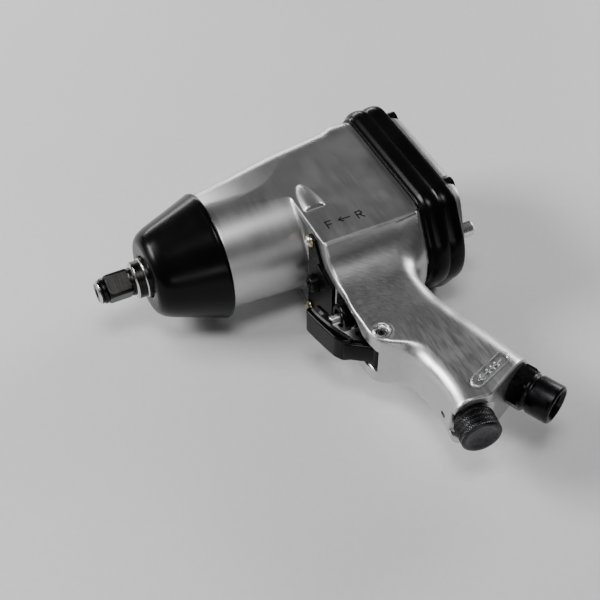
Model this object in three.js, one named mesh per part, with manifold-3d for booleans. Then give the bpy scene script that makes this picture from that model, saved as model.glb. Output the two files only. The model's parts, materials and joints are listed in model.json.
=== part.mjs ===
// A half-inch air impact wrench lying on its right side: nose towards -X, the tool's own up
// towards +Y, the handle towards -Y and the tool's left side towards +Z. Millimetres.
// X is measured from the rear rim of the nose boot while building; the last lines move the
// whole tool so that the middle of its bottom is at the origin.
import * as THREE from "three";
import { mergeVertices } from "three/addons/utils/BufferGeometryUtils.js";
import Module from "manifold-3d";

const wasm = await Module();
wasm.setup();

// ---------------------------------------------------------------- driving dimensions
const GAP = 0.3; // clearance between pieces that touch in the real tool

const TIP_X = -62; // front of the square drive
const NOSE_X = -31.5; // front face of the casting, under the boot
const SLAB_X = 41; // front of the flat-sided rear section
const RECESS_X = 97; // where the bumper recess starts
const REAR_X = 113; // rear face of the casting
const COVER_X = 118; // rear face of the cover's flange
const DOME_X = 127; // top of the cover's dome

const BARREL_R = 30; // barrel at the boot rim
const FLAT_Z = 30.5; // half width across the two side flats
const CREASE_Y = -46; // lower edge of the side flats
const TOP_Y = 41; // top of the rear section
const BELLY_Y = -58; // bottom of the rear section, under the reverse valve
const BELLY_R = 24;
const CORNER_R = 13; // upper corners of the rear section
const LOW_CORNER_R = 12; // lower corners
const BUMPER_OUT = 4; // how far the bumper's ribs stand out of the casting
const RECESS_IN = 1.4; // how far the recess under the bumper goes in

const SQUARE = 12.7; // half-inch square drive
const SQUARE_TURN = 0.52; // radians, how the square happens to stand
const ANVIL_R = 10.8;
const CAVITY_R = 25.6; // hammer space
const MOTOR_R = 26.2; // motor bore

const ROD_Y = -41.5; // reverse valve, parallel to the tool's axis
const ROD_R = 4.3;
const ROD_FRONT_X = 36.5;
const ROD_REAR_X = 132.5;

const BOSS = { x: 49.5, base: -21.5, radius: 5.6, long: 19, height: 2.6 }; // mark on the left flat

const THROTTLE_Y = -68.5;
const TRIGGER_PIVOT = { x: 47, y: -97 };
const TRIGGER_HALF = 7.2; // half width of the trigger
const POCKET_HALF = 11.5; // half width of the trigger pocket
const POCKET_BACK_X = 55;
const HUB_HALF = POCKET_HALF - 0.7; // half width of the trigger round its pin

const INLET_TILT = 0.454; // radians behind -Y
const INLET_FACE = { x: 95.5, y: -141.5 };
const INLET_R = 9.9;
const KNOB_TILT = -0.14; // radians, leaning towards the nose
const KNOB_FACE = { x: 66.5, y: -148.5 };
const KNOB_R = 10;
const KNOB_LONG = 13.5;

const COVER_SCREW = { y: 30, z: 24.5 };
const PLATE_SCREW = { y: -35, z: 23.5 };

const FINE = 36; // segments round the large turned pieces
const MEDIUM = 20;
const SMALL = 10;

// ---------------------------------------------------------------- materials
function metal(color, roughness) {
  return new THREE.MeshStandardMaterial({ color, roughness, metalness: 1 });
}
function dull(color, roughness) {
  return new THREE.MeshStandardMaterial({ color, roughness, metalness: 0 });
}
const castAluminium = metal(0xc9cacc, 0.34);
const blackRubber = dull(0x0c0c0d, 0.38);
const blackPlastic = dull(0x101011, 0.3);
const darkSteel = metal(0x3a3938, 0.42);
const blackOxide = metal(0x1c1c1e, 0.4);
const brightSteel = metal(0xd6d6d4, 0.22);
const hardenedSteel = metal(0x77736c, 0.35);
const bronze = metal(0xa97842, 0.4);
const yellowZinc = metal(0xc9a24a, 0.35);
const phenolic = dull(0x4a2f1c, 0.6);
const paper = dull(0x7d6a4a, 0.9);
const nitrile = dull(0x141414, 0.7);

// ---------------------------------------------------------------- solids
function solidOf(geometry) {
  const bare = geometry.clone();
  bare.deleteAttribute("normal");
  bare.deleteAttribute("uv");
  const merged = mergeVertices(bare, 1e-4);
  const corners = [];
  const index = merged.index.array;
  for (let i = 0; i < index.length; i += 3) {
    const [a, b, c] = [index[i], index[i + 1], index[i + 2]];
    if (a !== b && b !== c && c !== a) corners.push(a, b, c);
  }
  const vertProperties = merged.attributes.position.array;
  const asIs = new wasm.Manifold(
    new wasm.Mesh({ numProp: 3, vertProperties, triVerts: new Uint32Array(corners) }),
  );
  if (asIs.volume() > 0) return asIs;
  const turnedOver = new Uint32Array(corners.reverse());
  return new wasm.Manifold(new wasm.Mesh({ numProp: 3, vertProperties, triVerts: turnedOver }));
}

function geometryOf(solid) {
  const { vertProperties, triVerts } = solid.getMesh();
  const geometry = new THREE.BufferGeometry();
  geometry.setAttribute("position", new THREE.BufferAttribute(vertProperties, 3));
  geometry.setIndex(new THREE.BufferAttribute(triVerts, 1));
  const faceted = geometry.toNonIndexed();
  faceted.computeVertexNormals();
  return faceted;
}

function union(...solids) {
  return solids.reduce((whole, piece) => whole.add(piece));
}
function cut(solid, ...tools) {
  return tools.reduce((left, tool) => left.subtract(tool), solid);
}

// A solid of revolution about X through (y, z); profile is a list of [x, radius].
function turned(profile, segments = FINE, y = 0, z = 0) {
  const points = profile.map(([x, radius]) => new THREE.Vector2(radius, x));
  const lathe = new THREE.LatheGeometry(points, segments);
  lathe.rotateZ(-Math.PI / 2);
  lathe.translate(0, y, z);
  return solidOf(lathe);
}
function rod(radius, x0, x1, segments = SMALL, y = 0, z = 0) {
  return turned([[x0, 0], [x0, radius], [x1, radius], [x1, 0]], segments, y, z);
}
function ring(inner, outer, x0, x1, segments = MEDIUM, y = 0, z = 0) {
  const profile = [[x0, inner], [x0, outer], [x1, outer], [x1, inner], [x0, inner]];
  return turned(profile, segments, y, z);
}
function block(x0, x1, y0, y1, z0, z1) {
  const box = new THREE.BoxGeometry(x1 - x0, y1 - y0, z1 - z0);
  box.translate((x0 + x1) / 2, (y0 + y1) / 2, (z0 + z1) / 2);
  return solidOf(box);
}
// A plate cut from an outline in the XY plane, between two heights.
function plateXY(points, z0, z1) {
  const shape = new THREE.Shape(points.map(([x, y]) => new THREE.Vector2(x, y)));
  const solid = new THREE.ExtrudeGeometry(shape, { depth: z1 - z0, bevelEnabled: false });
  solid.translate(0, 0, z0);
  return solidOf(solid);
}
// A plate cut from an outline of [y, z] points, between two places along X.
function plateYZ(outline, x0, x1) {
  return loft([x0, x1].map((x) => outline.map(([y, z]) => new THREE.Vector3(x, y, z))));
}
// A closed skin through rings of equally many points, with flat ends.
function loft(rings) {
  const count = rings[0].length;
  const positions = [];
  const faces = [];
  for (const points of rings) points.forEach((p) => positions.push(p.x, p.y, p.z));
  for (let k = 0; k + 1 < rings.length; k += 1) {
    for (let i = 0; i < count; i += 1) {
      const j = (i + 1) % count;
      const [a, b, c, d] = [k * count + i, k * count + j, (k + 1) * count + j, (k + 1) * count + i];
      faces.push(a, b, c, a, c, d);
    }
  }
  const last = (rings.length - 1) * count;
  for (const [start, reversed] of [[0, true], [last, false]]) {
    const middle = positions.length / 3;
    const centre = new THREE.Vector3();
    rings[start / count].forEach((p) => centre.addScaledVector(p, 1 / count));
    positions.push(centre.x, centre.y, centre.z);
    for (let i = 0; i < count; i += 1) {
      const [a, b] = [start + i, start + ((i + 1) % count)];
      faces.push(middle, reversed ? b : a, reversed ? a : b);
    }
  }
  const geometry = new THREE.BufferGeometry();
  geometry.setAttribute("position", new THREE.Float32BufferAttribute(positions, 3));
  geometry.setIndex(faces);
  return solidOf(geometry);
}
// Moves a piece built along +X so that it starts at a place in the XY plane and points
// away from the tool's axis, leaning back from -Y by a tilt.
function hung(solid, place, tilt) {
  const turn = tilt - Math.PI / 2;
  return solid.rotate(0, 0, THREE.MathUtils.radToDeg(turn)).translate(place.x, place.y, 0);
}

const tool = new THREE.Group();
function add(name, solid, material) {
  const mesh = new THREE.Mesh(geometryOf(solid), material);
  mesh.name = name;
  tool.add(mesh);
}

// ---------------------------------------------------------------- outlines
function arc(cy, cz, radius, from, to, steps) {
  const points = [];
  for (let i = 0; i <= steps; i += 1) {
    const angle = THREE.MathUtils.degToRad(from + ((to - from) * i) / steps);
    points.push([cy + radius * Math.cos(angle), cz + radius * Math.sin(angle)]);
  }
  return points;
}
// The rear section across X: rounded corners, flat sides and an arched belly. grow moves
// the whole outline out or in.
function shield(grow, top = TOP_Y, flat = FLAT_Z, belly = BELLY_Y) {
  const left = [
    ...arc(belly + BELLY_R, 0, BELLY_R + grow, 180, 144, 4),
    ...arc(CREASE_Y + 9, flat - LOW_CORNER_R, LOW_CORNER_R + grow, 138, 90, 3),
    ...arc(top - CORNER_R, flat - CORNER_R, CORNER_R + grow, 90, 20, 5),
    [top + grow, 8],
  ];
  const right = left.slice(1).reverse().map(([y, z]) => [y, -z]);
  return [...left, ...right];
}
function along(x, outline) {
  return outline.map(([y, z]) => new THREE.Vector3(x, y, z));
}
// A rounded rectangle across Y between x0 and x1, half as wide as half, at the height y.
function handleRing(y, x0, x1, half, frontRound, backRound) {
  const points = [];
  const corners = [
    [x1 - backRound, half - backRound * 0.9, backRound, backRound * 0.9, 0],
    [x0 + frontRound, half - frontRound * 0.9, frontRound, frontRound * 0.9, 90],
    [x0 + frontRound, -half + frontRound * 0.9, frontRound, frontRound * 0.9, 180],
    [x1 - backRound, -half + backRound * 0.9, backRound, backRound * 0.9, 270],
  ];
  for (const [cx, cz, rx, rz, from] of corners) {
    for (let i = 0; i <= 5; i += 1) {
      const angle = THREE.MathUtils.degToRad(from + 18 * i);
      points.push(new THREE.Vector3(cx + rx * Math.cos(angle), y, cz + rz * Math.sin(angle)));
    }
  }
  return points;
}

// ---------------------------------------------------------------- housing
// The front of the casting: a barrel whose upper half swells into the rear section.
function barrel() {
  const rings = [];
  const steps = 6;
  const [x0, x1] = [1.5, RECESS_X];
  const rear = shield(0);
  for (let i = 0; i <= steps; i += 1) {
    const t = i / steps;
    const radius = BARREL_R + 2 * t;
    const points = rear.map(([y, z]) => {
      const angle = Math.atan2(z, y);
      const round = [radius * Math.cos(angle), radius * Math.sin(angle)];
      const blend = (0.1 + 0.9 * t) * THREE.MathUtils.clamp(y / 10, 0, 1);
      const [ringY, ringZ] = [0, 1].map((k) => THREE.MathUtils.lerp(round[k], [y, z][k], blend));
      return new THREE.Vector3(THREE.MathUtils.lerp(x0, x1, t), ringY, ringZ);
    });
    rings.push(points);
  }
  const nose = turned([
    [NOSE_X, 0], [NOSE_X, 17.4], [NOSE_X + 4, 20.6], [-0.6, BARREL_R - 0.6], [0.2, BARREL_R],
    [SLAB_X + 4, BARREL_R + 1.4], [RECESS_X, BARREL_R + 2], [RECESS_X, 0],
  ]);
  return union(nose, loft(rings));
}
function rearSection() {
  const slab = loft([
    along(SLAB_X, shield(0, 14)),
    along(RECESS_X, shield(0)),
  ]);
  const recess = plateYZ(shield(-RECESS_IN), RECESS_X - 1, REAR_X);
  return union(slab, recess);
}
function handle() {
  const rings = [
    handleRing(-40, SLAB_X, 96, FLAT_Z - 0.1, 2, 4),
    handleRing(CREASE_Y, SLAB_X, 96, FLAT_Z - 0.1, 2, 4),
    handleRing(-52, SLAB_X, 93, 24.5, 2, 9),
    handleRing(-59, SLAB_X, 87, 20, 2.5, 11),
    handleRing(-68, SLAB_X, 84.5, 17.4, 2.5, 13),
    handleRing(-78, SLAB_X + 0.4, 85, 16.4, 3, 14),
    handleRing(-96, SLAB_X + 1.8, 90.4, 16, 2.4, 14),
    handleRing(-102, 46.8, 92.4, 16, 4, 14),
    handleRing(-110, 53, 95.2, 16, 9, 14),
    handleRing(-124, 56, 99.8, 16, 11, 14),
    handleRing(-138, 57, 104, 16.2, 12, 14),
    handleRing(-158, 54, 110, 16.6, 12, 14),
  ];
  const grip = loft(rings);
  const below = 40;
  const inletSide = hung(rod(45, 0, below, 4), INLET_FACE, INLET_TILT);
  const knobSide = hung(block(0, below, -40, 18, -30, 30), KNOB_FACE, KNOB_TILT);
  return cut(grip, inletSide, knobSide);
}
// A raised mark on the left flat, like half a bullet lying on it with its point upwards.
function sightBoss() {
  const { x, base, radius, long, height } = BOSS;
  const profile = [[-base - long, 0]];
  for (let i = 5; i >= 0; i -= 1) {
    const t = i / 6;
    profile.push([-base - long * t, radius * Math.sqrt(1 - t * t)]);
  }
  profile.push([-base, 0]);
  const bullet = turned(profile, MEDIUM).scale([1, 1, height / radius]);
  return bullet.rotate(0, 0, -90).translate(x, 0, FLAT_Z - 0.1);
}
function throttleChamber() {
  return rod(8, POCKET_BACK_X + 3, 76, MEDIUM, THROTTLE_Y);
}
function passages() {
  const inletBore = hung(rod(9.9, -15.5, 1, MEDIUM), INLET_FACE, INLET_TILT);
  const airWay = hung(rod(6.5, -82, -15, SMALL), INLET_FACE, INLET_TILT);
  const regulatorBore = hung(rod(6, -48, 1, MEDIUM), KNOB_FACE, KNOB_TILT);
  const riser = block(60, 66, THROTTLE_Y, ROD_Y, -3.5, 3.5);
  const motorPort = block(60, 66, ROD_Y, -20, -4, 4);
  const rodBore = rod(6.2, 30, REAR_X + 1, MEDIUM, ROD_Y);
  return [inletBore, airWay, regulatorBore, riser, motorPort, rodBore, throttleChamber()];
}
function housing() {
  const core = turned([
    [NOSE_X - 1, 0], [NOSE_X - 1, 14.5], [-4.6, 14.5], [-4.6, 21.5], [1, CAVITY_R],
    [40.6, CAVITY_R], [40.6, MOTOR_R], [REAR_X + 1, MOTOR_R], [REAR_X + 1, 0],
  ]);
  const pocket = block(SLAB_X - 10, POCKET_BACK_X, -101.9, -60.5, -POCKET_HALF, POCKET_HALF);
  const bushSeat = rod(6.1, POCKET_BACK_X - 1, POCKET_BACK_X + 4, MEDIUM, THROTTLE_Y);
  const plateSeat = cut(
    block(SLAB_X - 4, SLAB_X + 1.2, -59.5, -31, -27, 27),
    rod(BARREL_R + 2.8, SLAB_X - 5, SLAB_X + 2, FINE),
  );
  const pinHole = rod(2.7, -20, 20, SMALL).rotate(0, 90, 0).translate(TRIGGER_PIVOT.x, TRIGGER_PIVOT.y, 0);
  const recesses = [-1, 1].map((side) =>
    rod(4.2, 15, 20, SMALL).rotate(0, side * -90, 0).translate(TRIGGER_PIVOT.x, TRIGGER_PIVOT.y, 0),
  );
  const screwHoles = coverScrewPlaces().map(([y, z]) => rod(2.8, 92, REAR_X + 1, SMALL, y, z));
  const plateHoles = [-1, 1].map((side) =>
    rod(1.9, SLAB_X - 3, SLAB_X + 9, SMALL, PLATE_SCREW.y, side * PLATE_SCREW.z),
  );
  const outside = union(barrel(), rearSection(), handle(), sightBoss());
  return cut(
    outside, core, pocket, bushSeat, plateSeat, pinHole, ...recesses, ...screwHoles, ...plateHoles,
    ...passages(),
  );
}

// ---------------------------------------------------------------- covers and rubber
function coverScrewPlaces() {
  const { y, z } = COVER_SCREW;
  return [[y, z], [y, -z], [-y, z], [-y, -z]];
}
function noseBoot() {
  const inside = BARREL_R - 0.6 + GAP;
  return turned([
    [-35.6, 11.4], [-36, 12.4], [-36, 18], [-35.2, 20], [-33, 22.2], [-29, 24.2],
    [-4, 33], [-2.4, 33.6], [-0.8, 33.4], [0, 32.4], [0, BARREL_R + GAP],
    [-0.8, inside], [NOSE_X + 4 - GAP, 21], [NOSE_X - GAP, 17.8], [NOSE_X - GAP, 11.4], [-35.6, 11.4],
  ]);
}
function rearBumper() {
  const x0 = RECESS_X + GAP;
  const x1 = x0 + 20.6;
  const profile = [
    [x0, 0.9], [x0 + 1, 2.4], [x0 + 4.5, 3.2], [x0 + 6.6, BUMPER_OUT], [x0 + 8.2, BUMPER_OUT],
    [x0 + 9.8, 3.2], [x0 + 11.6, 2], [x0 + 13.4, 3.2], [x0 + 14.8, BUMPER_OUT],
    [x0 + 16.4, BUMPER_OUT], [x0 + 18.6, 3.2], [x1, 1],
  ];
  const band = loft(profile.map(([x, grow]) => along(x, shield(grow))));
  return cut(band, plateYZ(shield(GAP - RECESS_IN), x0 - 1, x1 + 1));
}
function rearGasket() {
  const sheet = plateYZ(shield(-RECESS_IN), REAR_X + GAP, REAR_X + GAP + 0.8);
  const holes = coverScrewPlaces().map(([y, z]) => rod(2.8, REAR_X - 1, REAR_X + 3, SMALL, y, z));
  const middle = rod(MOTOR_R, REAR_X - 1, REAR_X + 3, FINE);
  return cut(sheet, middle, rod(6.2, REAR_X - 1, REAR_X + 3, SMALL, ROD_Y), ...holes);
}
function rearCover() {
  const x0 = REAR_X + 2 * GAP + 0.8;
  const dome = loft([
    along(x0, shield(-RECESS_IN)), along(COVER_X, shield(-RECESS_IN)),
    along(COVER_X + 3.5, shield(-RECESS_IN - 0.8)), along(DOME_X - 1.5, shield(-RECESS_IN - 5)),
    along(DOME_X, shield(-RECESS_IN - 7)),
  ]);
  const spigot = ring(20, MOTOR_R - GAP, 102.6, x0 + 1, FINE);
  const hollow = turned([[x0 - 2, 0], [x0 - 2, 16], [x0 + 2.5, 14], [x0 + 2.5, 0]], MEDIUM);
  const seats = coverScrewPlaces().map(([y, z]) => rod(5, COVER_X, DOME_X + 2, SMALL, y, z));
  const holes = coverScrewPlaces().map(([y, z]) => rod(2.8, x0 - 1, DOME_X + 2, SMALL, y, z));
  const rodHole = rod(ROD_R + 0.5, x0 - 1, DOME_X + 1, MEDIUM, ROD_Y);
  const slope = plateXY([[COVER_X, -62], [DOME_X + 1, -8], [DOME_X + 3, -62]], -40, 40);
  return cut(union(dome, spigot), slope, hollow, rodHole, ...seats, ...holes);
}
function socketScrew(y, z) {
  const head = COVER_X + 1.4;
  const body = turned([
    [RECESS_X - 2, 0], [RECESS_X - 2, 1.9], [RECESS_X - 1.2, 2.5], [head, 2.5], [head, 4.2],
    [head + 4.6, 4.2], [head + 5, 3.8], [head + 5, 0],
  ], SMALL, y, z);
  return cut(body, rod(2.3, head + 2.2, head + 6, 6, y, z));
}
function springWasher(y, z) {
  const washer = ring(2.75, 4.2, COVER_X + GAP, COVER_X + 1.1, SMALL, y, z);
  return cut(washer, block(COVER_X, COVER_X + 2, y - 0.4, y + 0.4, z, z + 6));
}

add("housing", housing(), castAluminium);
add("nose_boot", noseBoot(), blackRubber);
add("rear_bumper", rearBumper(), blackRubber);
add("rear_gasket", rearGasket(), paper);
add("rear_cover", rearCover(), castAluminium);
coverScrewPlaces().forEach(([y, z], i) => {
  add(`cover_screw_${i + 1}`, socketScrew(y, z), blackOxide);
  add(`cover_washer_${i + 1}`, springWasher(y, z), darkSteel);
});

// ---------------------------------------------------------------- anvil and hammer
function anvil() {
  const shaft = turned([
    [TIP_X, 0], [TIP_X, 4.9], [TIP_X + 1.1, 6], [TIP_X + 2.3, 6], [TIP_X + 2.3, 3.7],
    [TIP_X + 5, 3.7], [TIP_X + 5, 6], [TIP_X + 6, 6], [-44.6, 6], [-44.6, 7.2], [-43, 7.2],
    [-43, 8.4], [-42, 9.6], [-38, 9.6], [-37.4, 10.4], [-34, ANVIL_R], [-4.2, ANVIL_R],
    [-4.2, 13.4], [-1, 13.4], [-1, ANVIL_R], [29.5, ANVIL_R], [30.5, 9.8], [30.5, 0],
  ], MEDIUM);
  const square = block(TIP_X + 5, -44.8, -SQUARE / 2, SQUARE / 2, -SQUARE / 2, SQUARE / 2);
  const corners = turned([
    [TIP_X + 5, 0], [TIP_X + 5, 7.2], [TIP_X + 6.4, 8.4], [-46, 8.4], [-44.8, 7.4], [-44.8, 0],
  ], MEDIUM);
  const lobe = block(8, 28, 0, 12.6, -4, 4);
  const drive = square.intersect(corners).rotate(THREE.MathUtils.radToDeg(SQUARE_TURN), 0, 0);
  const centreHole = turned([[TIP_X - 1, 0], [TIP_X - 1, 2.6], [TIP_X + 3, 1], [TIP_X + 3, 0]], SMALL);
  return cut(union(shaft, drive, lobe), centreHole);
}
function frictionRing() {
  const whole = ring(5.05, 6.7, TIP_X + 2.6, TIP_X + 4.7, MEDIUM);
  return cut(whole, block(TIP_X, TIP_X + 6, 0, 9, -0.8, 0.8));
}
function hammerCage() {
  const body = turned([
    [0.2, 0], [0.2, 23], [2.2, 24.9], [36.8, 24.9], [36.8, 0],
  ], MEDIUM);
  const bore = rod(ANVIL_R + 0.4, -1, 31.2, MEDIUM);
  const spline = sixLobes(8.2, 30, 38);
  const room = block(5.8, 29.8, -7, 30, -30, 30);
  const inner = rod(15.2, 5.8, 29.8, MEDIUM);
  const pins = [18.6, -19.6].map((y) => rod(3.2, -1, 33.5, SMALL, y));
  return cut(body, bore, spline, room, inner, ...pins);
}
// A six-lobed bar about the axis, for the splined joint between rotor and hammer cage.
function sixLobes(radius, x0, x1) {
  const points = [];
  for (let i = 0; i < 24; i += 1) {
    const angle = (i * Math.PI) / 12;
    const reach = radius * (i % 4 < 2 ? 1 : 0.82);
    points.push([reach * Math.cos(angle), reach * Math.sin(angle)]);
  }
  return plateYZ(points, x0, x1);
}
function hammerDog() {
  const whole = ring(14.2, 24, 6.4, 29.2, FINE);
  const below = block(5, 31, -30, -2.5, -30, 30);
  return cut(whole, below, rod(3.4, 5, 31, SMALL, 18.6));
}

add("anvil", anvil(), darkSteel);
add("friction_ring", frictionRing(), blackOxide);
add("friction_o_ring", ring(3.95, 4.75, TIP_X + 2.8, TIP_X + 4.4, MEDIUM), nitrile);
add("anvil_bushing", ring(ANVIL_R + GAP, 14.2, NOSE_X + 0.4, -4.9, MEDIUM), bronze);
add("hammer_cage", hammerCage(), hardenedSteel);
add("hammer_dog", hammerDog(), hardenedSteel);
add("dog_pin", rod(2.9, 0.8, 33.2, SMALL, 18.6), brightSteel);
add("stop_pin", rod(2.9, 0.8, 33.2, SMALL, -19.6), brightSteel);

// ---------------------------------------------------------------- air motor
const ROTOR = { radius: 17.6, front: 48.6, rear: 94.6, shaft: 6.5 };
const VANES = 6;
const VANE_THICK = 1.6;
const BORE = { radius: 20.4, offset: -2.3 };
function rotor() {
  const body = turned([
    [31.6, 0], [31.6, 6], [38.4, 6], [38.4, ROTOR.shaft], [ROTOR.front, ROTOR.shaft],
    [ROTOR.front, ROTOR.radius], [ROTOR.rear, ROTOR.radius], [ROTOR.rear, ROTOR.shaft],
    [106, ROTOR.shaft], [107, 5.5], [107, 0],
  ], MEDIUM);
  const slots = [];
  for (let i = 0; i < VANES; i += 1) {
    const slot = block(ROTOR.front - 1, ROTOR.rear + 1, 8.6, 20, -1.1, 1.1);
    slots.push(slot.rotate((360 * i) / VANES, 0, 0));
  }
  return cut(union(body, sixLobes(7.8, 31.6, 36.6)), ...slots);
}
function vane(i) {
  const blade = block(ROTOR.front + 0.4, ROTOR.rear - 0.4, 9, 17.7, -VANE_THICK / 2, VANE_THICK / 2);
  return blade.rotate((360 * i) / VANES, 0, 0);
}
const DOWEL = { y: 22.4, radius: 1.4 };
function motorCylinder() {
  const outer = rod(MOTOR_R - GAP, 48, 95, FINE);
  const bore = rod(BORE.radius, 47, 96, FINE, BORE.offset);
  const dowelHole = rod(DOWEL.radius + GAP, 47, 96, SMALL, DOWEL.y);
  const ports = [-1, 1].map((side) => block(58, 68, -30, -10, side * 6 - 2.5, side * 6 + 2.5));
  return cut(outer, bore, dowelHole, ...ports);
}
function endPlate(x0, x1) {
  const disc = ring(11.6, MOTOR_R - GAP, x0, x1, FINE);
  return cut(disc, rod(DOWEL.radius + GAP, x0 - 1, x1 + 1, SMALL, DOWEL.y));
}
function ballBearing(x0, x1) {
  return ring(ROTOR.shaft + 0.3, 11.3, x0, x1, MEDIUM);
}

add("rotor", rotor(), brightSteel);
for (let i = 0; i < VANES; i += 1) add(`vane_${i + 1}`, vane(i), phenolic);
add("motor_cylinder", motorCylinder(), hardenedSteel);
add("front_end_plate", endPlate(41.2, 47.7), brightSteel);
add("rear_end_plate", endPlate(95.3, 102.2), brightSteel);
add("front_bearing", ballBearing(41.6, 47.4), brightSteel);
add("rear_bearing", ballBearing(95.8, 101.8), brightSteel);
add("motor_dowel", rod(DOWEL.radius, 42, 101.5, SMALL, DOWEL.y), brightSteel);

// ---------------------------------------------------------------- reverse valve
function reverseValve() {
  const profile = [
    [ROD_FRONT_X, 0], [ROD_FRONT_X, ROD_R - 0.7], [ROD_FRONT_X + 0.7, ROD_R], [56, ROD_R],
    [56, 3.2], [60, 3.2], [60, ROD_R], [66, ROD_R], [66, 3.2], [72, 3.2], [72, ROD_R],
    [ROD_REAR_X - 0.7, ROD_R], [ROD_REAR_X, ROD_R - 0.7], [ROD_REAR_X, 0],
  ];
  return turned(profile, MEDIUM, ROD_Y);
}
add("reverse_valve", reverseValve(), brightSteel);
const bush = cut(
  ring(ROD_R + GAP, 5.9, 44, 108, MEDIUM, ROD_Y),
  block(60.5, 65.5, -60, -30, -3, 3),
);
add("reverse_bush", bush, bronze);

// ---------------------------------------------------------------- trigger and throttle
function triggerPlate() {
  const left = [[-59.2, 0], [-59.2, 11.6], [-47.5, 14.8], [-38.6, 26.4], [-33, 26.4]];
  const right = left.slice(1).reverse().map(([y, z]) => [y, -z]);
  const blank = plateYZ([...left, ...right], SLAB_X - 1.6, SLAB_X + 0.9);
  const holes = [-1, 1].map((side) =>
    rod(2.2, SLAB_X - 3, SLAB_X + 2, SMALL, PLATE_SCREW.y, side * PLATE_SCREW.z),
  );
  const rodHole = rod(ROD_R + 0.6, SLAB_X - 3, SLAB_X + 2, MEDIUM, ROD_Y);
  return cut(blank, rod(BARREL_R + 3.1, SLAB_X - 4, SLAB_X + 2, FINE), rodHole, ...holes);
}
function plateScrew(side) {
  const x = SLAB_X - 1.6 - GAP;
  const body = turned([
    [x - 2.2, 0], [x - 2.2, 2], [x - 1.2, 3.2], [x, 3.3], [x, 1.6], [SLAB_X + 8, 1.6], [SLAB_X + 8, 0],
  ], SMALL, PLATE_SCREW.y, side * PLATE_SCREW.z);
  const slots = [[1.8, 0.4], [0.4, 1.8]].map(([halfY, halfZ]) =>
    block(x - 3, x - 1, -halfY, halfY, -halfZ, halfZ).translate(0, PLATE_SCREW.y, side * PLATE_SCREW.z),
  );
  return cut(body, ...slots);
}
function trigger() {
  const { x, y } = TRIGGER_PIVOT;
  const finger = [
    [25.8, -60.6], [24.4, -63], [25.6, -70], [27.4, -78], [29, -84.5], [31.4, -88.4], [35, -90],
  ];
  const back = [[37, -88.6], [35.6, -85], [32, -76], [29.4, -66], [28.8, -61.4]];
  const eye = arc(x, y, 4.2, 240, 400, 5);
  const leg = [[34, -86], [31.4, -88.4], [35.5, -91.8], [41, -95.6], ...eye, [x - 5, y + 6]];
  const blade = union(
    plateXY([...finger, ...back], -TRIGGER_HALF, TRIGGER_HALF),
    plateXY(leg, -TRIGGER_HALF + 0.6, TRIGGER_HALF - 0.6),
    rod(4.2, -HUB_HALF, HUB_HALF, MEDIUM).rotate(0, 90, 0).translate(x, y, 0),
  );
  const pinHole = rod(2.75, -20, 20, SMALL).rotate(0, 90, 0).translate(x, y, 0);
  const presser = block(28.5, 33.9, THROTTLE_Y - 3.5, THROTTLE_Y + 3.5, -3.2, 3.2);
  return cut(union(blade, presser), pinHole);
}
function throttleBush() {
  return turned([
    [39.6, 2.9], [39.6, 6.6], [40.4, 7.4], [43, 7.4], [43, 6.4], [45, 6.4], [45, 7.4],
    [POCKET_BACK_X - GAP, 7.4], [POCKET_BACK_X - GAP, 5.8], [POCKET_BACK_X + 2.6, 5.8],
    [POCKET_BACK_X + 2.6, 2.9], [39.6, 2.9],
  ], MEDIUM, THROTTLE_Y);
}
function throttleStem() {
  return turned([
    [34.3, 0], [34.3, 2], [34.9, 2.6], [58.4, 2.6], [58.4, 5.4], [60, 6.2], [62, 6.2], [62.6, 5.6],
    [62.6, 0],
  ], SMALL, THROTTLE_Y);
}
// A coil spring at its length with the trigger pulled, with its ends run into flat rings.
class Helix extends THREE.Curve {
  constructor(radius, turns, x0, x1) {
    super();
    Object.assign(this, { radius, turns, x0, x1 });
  }
  getPoint(t, target = new THREE.Vector3()) {
    const angle = 2 * Math.PI * this.turns * t;
    const x = THREE.MathUtils.lerp(this.x0, this.x1, t);
    return target.set(x, this.radius * Math.cos(angle), this.radius * Math.sin(angle));
  }
}
function throttleSpring() {
  const wire = new THREE.Shape();
  wire.absarc(0, 0, 0.55, 0, 2 * Math.PI, false);
  const path = new Helix(4.6, 3.5, 69, 74.6);
  const coil = new THREE.ExtrudeGeometry(wire, { steps: 42, curveSegments: 3, extrudePath: path });
  coil.translate(0, THROTTLE_Y, 0);
  return solidOf(coil);
}
function rollPin(radius, half, place) {
  const tube = ring(radius - 0.9, radius, -half, half, SMALL);
  const slit = block(-half - 1, half + 1, 0, radius + 1, -0.35, 0.35);
  return cut(tube, slit).rotate(0, 90, 0).translate(place.x, place.y, 0);
}

add("trigger_plate", triggerPlate(), blackPlastic);
[-1, 1].forEach((side, i) => add(`plate_screw_${i + 1}`, plateScrew(side), yellowZinc));
add("trigger", trigger(), blackPlastic);
add("trigger_pin", rollPin(2.4, 14.6, TRIGGER_PIVOT), brightSteel);
add("throttle_bush", throttleBush(), blackPlastic);
add("throttle_stem", throttleStem(), brightSteel);
add("throttle_spring", throttleSpring(), brightSteel);

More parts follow.
